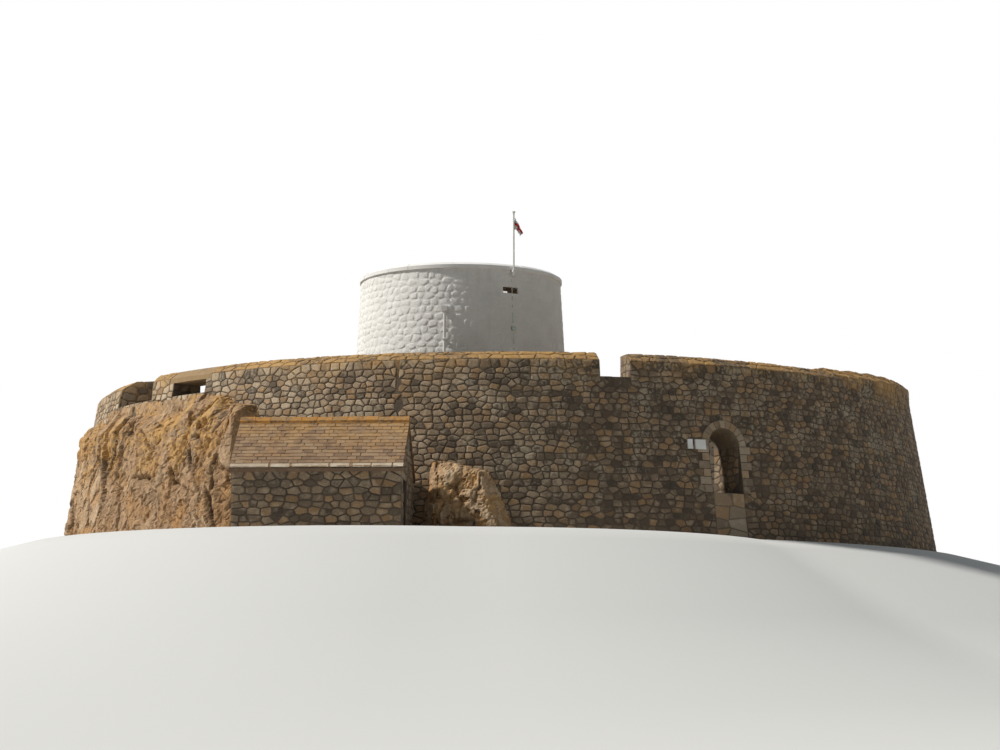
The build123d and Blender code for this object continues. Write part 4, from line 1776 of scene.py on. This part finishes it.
def frame_on(origin, right, rise):
    """Matrix that carries a flat layout to its place: X right, Y up the surface."""
    right, rise = Vector(right).normalized(), Vector(rise).normalized()
    turn = Matrix((right, rise, right.cross(rise))).transposed()
    return Matrix.Translation(origin) @ turn.to_4x4()


print("sockets of the rows group", len(rows_group.interface.items_tree))

# %% [markdown]
# Stone slates hang in rows that overlap, so each lies at a slight tilt to the
# roof under it. The number of rows and columns follows from the roof's size,
# and the same values serve both slopes with another seed.

# %% Slates
roof_low, roof_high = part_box("house_roof_front")
back_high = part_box("house_roof_back")[1]
run, rise = ridge_y - roof_low.y, (ridge_y - roof_low.y) * ridge_drop
slope = math.hypot(run, rise)
roof_width = roof_high.x - roof_low.x
slate_gap, slate_width = 0.205, 0.29
slates = {
    "Rows": int(slope / slate_gap) + 1,
    "Columns": int(roof_width / slate_width) + 2,
    "Row Gap": slate_gap,
    "Column Gap": slate_width,
    "Size": (0.3, 0.36, 0.022),
    "Tilt": -0.07,
    "Material": roof_slate,
}
front_eave = Vector((roof_low.x, roof_low.y, roof_high.z - rise))
back_eave = Vector((roof_high.x, back_high.y, roof_high.z - rise))
front_slope = frame_on(front_eave, (1, 0, 0), (0, run, rise))
back_slope = frame_on(back_eave, (-1, 0, 0), (0, -run, rise))
roof_edges = (0.0, roof_width, -0.02, slope - 0.06)
grown("slates_front", rows_group, {**slates, "Seed": 51}, front_slope, "roof_slate", roof_edges)
grown("slates_back", rows_group, {**slates, "Seed": 52}, back_slope, "roof_slate", roof_edges)
print("rows of slates", slates["Rows"], "slope", round(slope, 2))

# %% [markdown]
# Under the slates lies one course of pale, longer and thicker stones at the
# eaves. It is the rows group again, with a single row that starts half a
# stone in from the roof's end.

# %% Eave stones
eave_course = {
    **slates,
    "Rows": 1,
    "Columns": 9,
    "Column Gap": 0.66,
    "Size": (0.655, 0.2, 0.05),
    "Tilt": 0.0,
    "Material": eave_stone,
    "Seed": 55,
}
half_stone = 0.33
eave_edges = (-half_stone, roof_width - half_stone, -0.1, 0.2)
for name, roof_slope in (("eave_front", front_slope), ("eave_back", back_slope)):
    place = roof_slope @ Matrix.Translation((half_stone, 0.085, 0.012))
    grown(name, rows_group, eave_course, place, "roof_slate", eave_edges)
print("eave stones on each side", eave_course["Columns"])

# %% [markdown]
# The tower's upper door is boarded with seven upright planks, one row of
# slabs that are much taller than wide. They stand on the door of the solid
# model, which faces out at the gate's bearing.

# %% Door planks
door_out = at_bearing(door_bearing, 1.0, 0.0)
door_right = Vector((-door_out.y, door_out.x, 0.0))
door_reach, door_half, door_foot = 3.922, 0.405, 5.93
door_corner = Vector((tower_x, 0, door_foot)) + door_out * door_reach - door_right * door_half
planks = {
    "Rows": 1,
    "Columns": 7,
    "Row Gap": 1.0,
    "Column Gap": 0.135,
    "Size": (0.135, 1.86, 0.03),
    "Tilt": 0.0,
    "Seed": 53,
    "Material": wood,
}
door_face = frame_on(door_corner, door_right, (0, 0, 1))
grown("door_planks", rows_group, planks, door_face, "door_planks")
print("planks", planks["Columns"])

# %% [markdown]
# The inner edge of the gun terrace is finished with dressed stones. They are
# laid by the ring group, between the terrace's two ends at the gate.

# %% Terrace edging
edge_count, edge_start, edge_sweep = 84, 42, 336
edging = {
    "Count": edge_count,
    "Radius": terrace_inner + 0.2,
    "First": math.radians(edge_start),
    "Step": math.radians(edge_sweep / (edge_count - 1)),
    "Size": (0.83, 0.44, 0.13),
    "Tilt": 0.0,
    "Seed": 54,
    "Material": dressed,
}
edging_place = Matrix.Translation((0, 0, terrace_level - 0.04))
grown("terrace_edging", ring_group, edging, edging_place, "dressed_granite")
print("edging stones", edge_count)

# %% [markdown]
# The crag is fractured granite. The cracks and hollows that show in the
# photograph are drawn as lines of (bearing, height), each with its width and
# its depth in metres. They cut into a face that is otherwise left to noise.

# %% Cracks of the bedrock
rock_lines = (
    (((-48.3, 4.55), (-46.2, 3.99), (-44.4, 3.49)), 0.05, 0.20),
    (((-44.4, 3.49), (-43.5, 3.72), (-42.8, 3.87)), 0.04, 0.12),
    (((-44.2, 3.44), (-44.9, 3.16)), 0.07, 0.18),
    (((-37.6, 4.68), (-37.2, 3.93), (-36.8, 3.42), (-36.4, 2.92)), 0.08, 0.34),
    (((-51.8, 3.74), (-51.5, 3.22), (-51.8, 2.72)), 0.13, 0.38),
    (((-42.5, 4.91), (-41.8, 4.94)), 0.10, 0.24),
    (((-43.9, 4.36), (-42.8, 4.33)), 0.06, 0.18),
    (((-33.3, 5.10), (-32.6, 4.82), (-31.8, 4.52)), 0.15, 0.36),
    (((-30.1, 5.05), (-28.9, 4.75)), 0.16, 0.36),
    (((-34.4, 4.45), (-34.6, 4.25)), 0.11, 0.30),
    (((-36.2, 3.78), (-35.4, 3.81)), 0.07, 0.24),
    (((-51.2, 4.58), (-50.0, 4.21)), 0.09, 0.16),
    (((-47.5, 2.56), (-44.2, 2.45)), 0.09, 0.32),
    (((-40.1, 2.74), (-39.2, 2.22), (-36.4, 1.93)), 0.06, 0.20),
    (((-63.3, 5.0), (-61.0, 5.2)), 0.12, 0.25),
    (((-64.6, 3.19), (-61.2, 2.75)), 0.09, 0.22),
    (((-33.7, 3.37), (-34.1, 2.75)), 0.10, 0.20),
    (((-32.0, 3.1), (-32.5, 2.69), (-32.2, 1.9)), 0.05, 0.14),
    (((-36.0, 4.64), (-35.4, 4.22), (-35.6, 3.7)), 0.05, 0.16),
    (((-70.5, 4.2), (-69.6, 2.2), (-70.2, 0.6)), 0.08, 0.26),
    (((-57.5, 4.7), (-58.4, 3.0), (-57.2, 1.0)), 0.06, 0.20),
    (((-78.0, 4.4), (-77.0, 2.8), (-78.2, 1.2)), 0.06, 0.18),
)
print("cracks and hollows", len(rock_lines))

# %% [markdown]
# The rock ends in a ragged line below the crest. That line is a profile of
# heights over bearings, one for the crag and one for the low outcrop. The
# other helpers here find the solid rock under the face, and the distance from
# a point of the face to a crack.

# %% Helpers for the bedrock
rock_top = (
    (-85.0, 4.5),
    (-72.0, 5.1),
    (-62.0, 5.46),
    (-37.0, 5.46),
    (-33.0, 5.2),
    (-29.5, 4.8),
    (-27.0, 4.2),
)
outcrop_top = ((-7.0, 2.3), (0.0, 2.35), (3.0, 2.1), (5.0, 1.5))


def height_at(profile, degrees):
    """Height of a profile of (bearing, height) at a bearing."""
    for (a, low), (b, high) in zip(profile, profile[1:]):
        if degrees <= b:
            return low + (high - low) * (degrees - a) / (b - a)
    return profile[-1][1]


def solid_tree(names):
    """Search tree over the meshes of some solid nodes."""
    points, faces = [], []
    for name in names:
        mesh = nodes[name].data
        first = len(points)
        points += [vertex.co.copy() for vertex in mesh.vertices]
        faces += [tuple(first + i for i in face.vertices) for face in mesh.polygons]
    return BVHTree.FromPolygons(points, faces)


def to_line(u, v, line):
    """Distance from a point to a line of points."""
    nearest = 100.0
    for (a, b), (c, d) in zip(line, line[1:]):
        run_u, run_v = c - a, d - b
        share = ((u - a) * run_u + (v - b) * run_v) / (run_u**2 + run_v**2)
        share = min(max(share, 0.0), 1.0)
        nearest = min(nearest, math.hypot(u - a - share * run_u, v - b - share * run_v))
    return nearest


print("top of the crag at bearing -50", height_at(rock_top, -50.0))

# %% [markdown]
# Granite breaks along joints into upright blocks, and these break again into
# smaller ones. Voronoi noise has the same look: each cell is a block at its
# own depth and tilt, with an open joint to the next. Two scales of cells, a
# scale of chips and a fine roughness are added up, and the cracks cut in.
# Noise vectors are offset by chance at each start, unless a seed is set.

# %% Relief of fractured rock
noise.seed_set(17)


def within(value, low=0.0, high=1.0):
    return min(max(value, low), high)


def cell_relief(place, depth, joint_width, joint_depth):
    """Relief of one scale of cells, the cell's own tone, and its joint mask."""
    distances, centres = noise.voronoi(place)
    level = noise.noise(centres[0] * 9.1 + Vector((0.37, 0.11, 0.73)))
    lean = noise.noise_vector(centres[0] * 5.3 + Vector((1.3, 0.6, 0.2)))
    tilt = (place.x - centres[0].x) * lean.x + (place.y - centres[0].y) * lean.y
    joint = math.exp(-(((distances[1] - distances[0]) / joint_width) ** 2))
    joint *= within(0.42 + 1.7 * noise.noise(place * 1.9 + Vector((4.1, 2.3, 0.9))))
    return depth * (1.4 * level + 1.8 * tilt) - joint_depth * joint, 0.5 + 0.8 * level, joint


def rock_relief(u, z, seed, scale, quiet, lines):
    """Relief at a point, and its stored tone, warmth and freedom from cracks."""
    bent = 0.35 * noise.noise(Vector((u * 0.9, z * 0.9, seed + 2)))
    on_blocks = Vector((u * 0.62 + z * 0.13 + bent, z * 0.36, seed)) * scale
    big, tone, joint = cell_relief(on_blocks, 0.11, 0.05, 0.13)
    on_pieces = Vector((u * 1.7 - z * 0.2 + bent, z * 1.15, seed + 5)) * scale
    small, fine_tone, fine_joint = cell_relief(on_pieces, 0.07, 0.06, 0.05)
    chips = cell_relief(Vector((u * 4.4 + z * 0.5, z * 3.6, seed + 9)), 0.05, 0.05, 0.0)[0]
    rough = 0.07 * noise.turbulence(Vector((u * 2.6, z * 2.6, seed)), 5, True) - 0.03
    relief, shade = quiet * (big + small) + chips + rough, max(joint, 0.7 * fine_joint) * quiet
    for line, width, depth in lines:
        distance = to_line(u, z, line) + 0.03 * noise.noise(Vector((u * 6, z * 6, seed)))
        broken = 0.7 + 0.9 * noise.noise(Vector((u * 2.1, z * 2.1, seed + width * 90)))
        cut = math.exp(-((distance / width) ** 2)) * within(broken, 0.15)
        relief, shade = relief - depth * cut, max(shade, cut)
    # The rock's tone is paler where its chips stand out and darker in their hollows.
    paler_where_raised = 0.45 * tone + 0.45 * fine_tone + 3.0 * chips + 0.1
    return relief, [within(paler_where_raised), within(1.1 - fine_tone), 1.0 - shade, 1.0]


print("relief of a trial point", round(rock_relief(0.0, 1.0, 3.7, 1.0, 1.0, [])[0], 3))

# %% [markdown]
# The face is one skin laid over the blocks of the solid model. A ray from
# outside finds the solid rock at each point, and the relief is added there.
# Where there is no rock, the skin dives into the wall. It is held back near
# its two ends, so that they have no upright edge, and leans back on the far
# left. A block that would stand out much is softened, to stay near the solid.

# %% Face of the bedrock
rock_step, softest = 0.055, 0.11
left_bearing, left_radius, left_lean, left_top = -60.0, 17.2, 0.16, 3.4


def rock_radius(hit, wall, relief, degrees, z, to_end):
    """Radius of the face where a ray has hit the solid rock."""
    raised = softest * math.tanh(relief / softest) if relief > 0.0 else relief
    proud = math.hypot(hit.x, hit.y) + raised
    proud = min(proud, wall - 0.1 + 0.42 * max(to_end, 0.0) + 0.6 * relief)
    if degrees < left_bearing:
        proud = min(proud, left_radius + left_lean * max(left_top - z, 0.0) + relief)
    return proud


def rock_face(name, names, first, last, high, lines, calm, top, slants, seed, material, scale=1.0):
    """Skin of rock over some blocks of the solid model, which it replaces. Its
    ends draw in by the slants, in degrees for each metre of height."""
    tree = solid_tree(names)
    reach = foot_radius + 0.2
    columns = int(arc(last - first, reach) / rock_step)
    rows = int(high / rock_step)
    lines = [([(arc(b, reach), z) for b, z in line], width, depth) for line, width, depth in lines]
    loops, stored = [], []
    for i in range(columns + 1):
        degrees = first + (last - first) * i / columns
        u, way = arc(degrees, reach), at_bearing(degrees, 1.0, 0.0)
        quiet = 0.35 if calm and calm[0] < degrees < calm[1] else 1.0
        loop = []
        for j in range(rows + 1):
            z = high * j / rows
            wall = wall_radius(min(z, crest_edge))
            lift = 0.10 * noise.noise(Vector((u * 1.3, seed, z * 0.4)))
            start = way * 20.0 + Vector((0, 0, within(z + lift, 0.02, high)))
            hit = tree.ray_cast(start, -way, 5.0)[0]
            relief, tones = rock_relief(u, z, seed, scale, quiet, lines)
            to_end = min(degrees - first - slants[0] * z, last - degrees - slants[1] * z)
            to_end += 6.0 * lift
            radius = wall - 0.14
            if to_end > 0.2 and z + 1.2 * lift < height_at(top, degrees):
                radius = wall + 0.06 + 0.5 * min(relief, 0.08)
            if hit is not None:
                radius = max(radius, rock_radius(hit, wall, relief, degrees, z, to_end))
            loop.append(way * radius + Vector((0, 0, z)))
            stored += tones
        for height in (high, 0.0):
            radius = wall_radius(min(height, crest_edge)) - 0.4
            loop.append(way * radius + Vector((0, 0, height)))
            stored += [0.5, 0.5, 1.0, 1.0]
        loops.append(loop)
    points, faces = lofted(loops)
    made = new_object(name, [in_box(p) for p in points], faces, material)
    store_tones(made, stored)
    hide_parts(*names)
    return fasten(made, "bedrock")


print("points of the face to a metre", round(1 / rock_step))

# %% [markdown]
# The crag stands under the battery's left side, with a calmer stretch in its
# middle. The outcrop between the outbuilding and the gate is the same rock in
# smaller blocks, low and without large cracks.

# %% Crag and outcrop
rock_face(
    "crag_face",
    [f"crag_{i}" for i in range(1, 6)],
    first=-84.3,
    last=-27.7,
    high=5.45,
    lines=rock_lines,
    calm=(-50.0, -38.2),
    top=rock_top,
    slants=(1.0, 0.0),
    seed=3.7,
    material=bedrock,
)
rock_face(
    "outcrop_face",
    ["crag_6"],
    first=-6.5,
    last=4.8,
    high=2.6,
    lines=(),
    calm=None,
    top=outcrop_top,
    slants=(0.3, 1.5),
    seed=8.1,
    material=outcrop_rock_painted_light,
    scale=1.9,
)
print("rock faces replace", [name for name in nodes if name.startswith("crag_")])

# %% [markdown]
# The flag's pattern is a plain red cross on white. It is drawn on the flag's
# own layout, in metres of the flat cut, so that it folds with the cloth. Two
# sine waves make the threads for the bump.

# %% Pattern of the flag
flag_fly, flag_hoist = 0.70, 0.48


def make_flag_group():
    sockets = [
        ("Ground", colour, (0.8, 0.8, 0.78, 1)),
        ("Bars", colour, (0.6, 0.03, 0.03, 1)),
        ("Bar", number, 0.06),
    ]
    tree, start, end = open_group("flag_cross", "ShaderNodeTree", sockets, colour_and_height)
    get = start.outputs
    place = add(tree, "ShaderNodeSeparateXYZ")
    tree.links.new(add(tree, "ShaderNodeUVMap", uv_map="cut").outputs[0], place.inputs[0])
    bars, threads = [], []
    for axis, middle_line in (("X", flag_fly / 2), ("Y", flag_hoist / 2)):
        off = maths(tree, "SUBTRACT", place.outputs[axis], middle_line)
        bars.append(maths(tree, "LESS_THAN", maths(tree, "ABSOLUTE", off), get["Bar"]))
        turns = maths(tree, "MULTIPLY", place.outputs[axis], 1800.0)
        threads.append(maths(tree, "SINE", turns))
    share = maths(tree, "MAXIMUM", *bars)
    tree.links.new(mixed(tree, share, get["Ground"], get["Bars"]), end.inputs["Color"])
    tree.links.new(maths(tree, "ADD", *threads), end.inputs["Height"])
    return tree


flag_cloth = finish(
    "flag_cloth",
    [(make_flag_group(), {})],
    roughness=0.8,
    bump_distance=0.0006,
    bump_strength=0.3,
)
print("finishes in all", len(bpy.data.materials))

# %% [markdown]
# The cloth starts flat, at its real cut, with its hoist beside the pole. A
# faint wave breaks its evenness, because a perfectly flat sheet would fall
# without folds. Its layout keeps where each point lies on the flat cut.

# %% The flag as it is cut
flag_columns, flag_rows = 38, 26
flag_low, flag_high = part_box("flag")


def make_flag():
    top, hoist_x = flag_high.z - 0.02, flag_low.x + 0.012
    middle_y = (flag_low.y + flag_high.y) / 2
    points, faces, cut = [], [], []
    for i in range(flag_columns + 1):
        for j in range(flag_rows + 1):
            out, down = flag_fly * i / flag_columns, flag_hoist * j / flag_rows
            sway = 0.004 * math.sin(out * 14.0 + down * 3.0)
            points.append((hoist_x + out, middle_y + sway, top - down))
            cut.append((out, flag_hoist - down))
    across = flag_rows + 1
    for i in range(flag_columns):
        for j in range(flag_rows):
            a = i * across + j
            faces.append((a, a + 1, a + across + 1, a + across))
    made = new_object("flag_cloth", points, faces, flag_cloth, smooth=True)
    layout = made.data.uv_layers.new(name="cut")
    for loop in made.data.loops:
        layout.data[loop.index].uv = cut[loop.vertex_index]
    return made


flag = make_flag()
print("flag points", len(flag.data.vertices))

# %% [markdown]
# The flag hangs slack from its pole. Folds like these are hard to model by
# hand, so the cloth is simulated: it is pinned along its hoist and left to
# fall and settle in a light wind that blows away from the pole. The result
# is then kept as a plain mesh.

# %% Let the flag fall
fall_frames, light_wind = 90, 1.5


def let_fall(piece, pinned, frames, wind):
    """Cloth simulation with some points pinned; the result becomes the mesh."""
    group = piece.vertex_groups.new(name="pinned")
    group.add(pinned, 1.0, "REPLACE")
    cloth = piece.modifiers.new("cloth", "CLOTH")
    settings = cloth.settings
    settings.vertex_group_mass = "pinned"
    settings.quality, settings.mass, settings.air_damping = 7, 0.12, 6.0
    settings.tension_stiffness = settings.compression_stiffness = 60.0
    settings.shear_stiffness, settings.bending_stiffness = 20.0, 2.0
    cloth.collision_settings.use_self_collision = True
    cloth.collision_settings.self_distance_min = 0.008
    cloth.point_cache.frame_end = frames
    bpy.ops.object.effector_add(type="WIND", rotation=(0.0, math.radians(90), 0.0))
    blower = bpy.context.object
    blower.field.strength, blower.field.seed = wind, 3
    for step in range(1, frames + 1):
        bpy.context.scene.frame_set(step)
    settled = piece.evaluated_get(bpy.context.evaluated_depsgraph_get())
    mesh = bpy.data.meshes.new_from_object(settled)
    piece.modifiers.clear()
    piece.data = mesh
    bpy.data.objects.remove(blower)
    bpy.context.scene.frame_set(1)


let_fall(flag, list(range(flag_rows + 1)), fall_frames, light_wind)
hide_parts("flag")
fasten(flag, "flag_cloth")
along = [[vertex.co[k] for vertex in flag.data.vertices] for k in range(3)]
print("flag spread", [round(max(values) - min(values), 2) for values in along])

# %% [markdown]
# A plain studio lights the object. Its one lamp is a broad soft sun, high on
# the left as in the photograph. Its level makes a white surface that faces it
# come out just under white.

# %% Sun
sun_data = bpy.data.lights.new("key", "SUN")
sun_data.energy = 4.15
sun_data.angle = math.radians(6)
sun_data.color = (0.98, 0.955, 0.90)
sun = bpy.data.objects.new("key", sun_data)
sun_way = Vector((0.706, 0.037, -0.707))
sun.rotation_euler = sun_way.to_track_quat("-Z", "Y").to_euler()
bpy.context.scene.collection.objects.link(sun)
print("sun shines along", sun_way)

# %% [markdown]
# The sky does two jobs. To the surfaces it is a dim, slightly blue light from
# all sides, which fills the shadows. To the camera, and in mirror-like
# reflections, it is a plain white background.

# %% Sky and background
world = bpy.data.worlds.new("studio")
bpy.context.scene.world = world
world.use_nodes = True
sky = world.node_tree
sky.nodes.clear()
fill_light = {"Color": rgb(0.80, 0.91, 1.0), "Strength": 0.15}
surroundings = add(sky, "ShaderNodeBackground", fill_light)
backdrop = add(sky, "ShaderNodeBackground", {"Color": rgb(1, 1, 1), "Strength": 1.0})
path = add(sky, "ShaderNodeLightPath")
seen = maths(sky, "MAXIMUM", path.outputs["Is Camera Ray"], path.outputs["Is Glossy Ray"])
seen = maths(sky, "MAXIMUM", seen, path.outputs["Is Transmission Ray"])
choice = add(sky, "ShaderNodeMixShader")
sky.links.new(seen, choice.inputs[0])
sky.links.new(surroundings.outputs[0], choice.inputs[1])
sky.links.new(backdrop.outputs[0], choice.inputs[2])
sky.links.new(choice.outputs[0], add(sky, "ShaderNodeOutputWorld").inputs[0])
print("sky nodes", len(sky.nodes))

# %% [markdown]
# The stage is a matt pale grey, so that it takes the object's shadow softly
# and sends a little light back up. The Standard view keeps the colours as
# they are set here.

# %% Floor and view
floor_finish = bpy.data.materials.new("floor")
floor_finish.use_nodes = True
floor_shader = floor_finish.node_tree.nodes["Principled BSDF"]
floor_shader.inputs["Base Color"].default_value = rgb(0.66, 0.66, 0.65)
floor_shader.inputs["Roughness"].default_value = 0.9
stage.data.materials.append(floor_finish)
bpy.context.scene.view_settings.view_transform = "Standard"
print("view", bpy.context.scene.view_settings.view_transform)

# %% [markdown]
# The dressed model must stay inside the box of the solid one. Both boxes are
# worked out here and printed.

# %% Boxes of the solid and the dressed model
dressed_low, dressed_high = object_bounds()
({
        "solid": [list(solid_low), list(solid_high)],
        "dressed": [list(dressed_low), list(dressed_high)],
    })
print("triangles added", sum(triangles_made))
print("solid", solid_low, solid_high, "dressed", dressed_low, dressed_high)
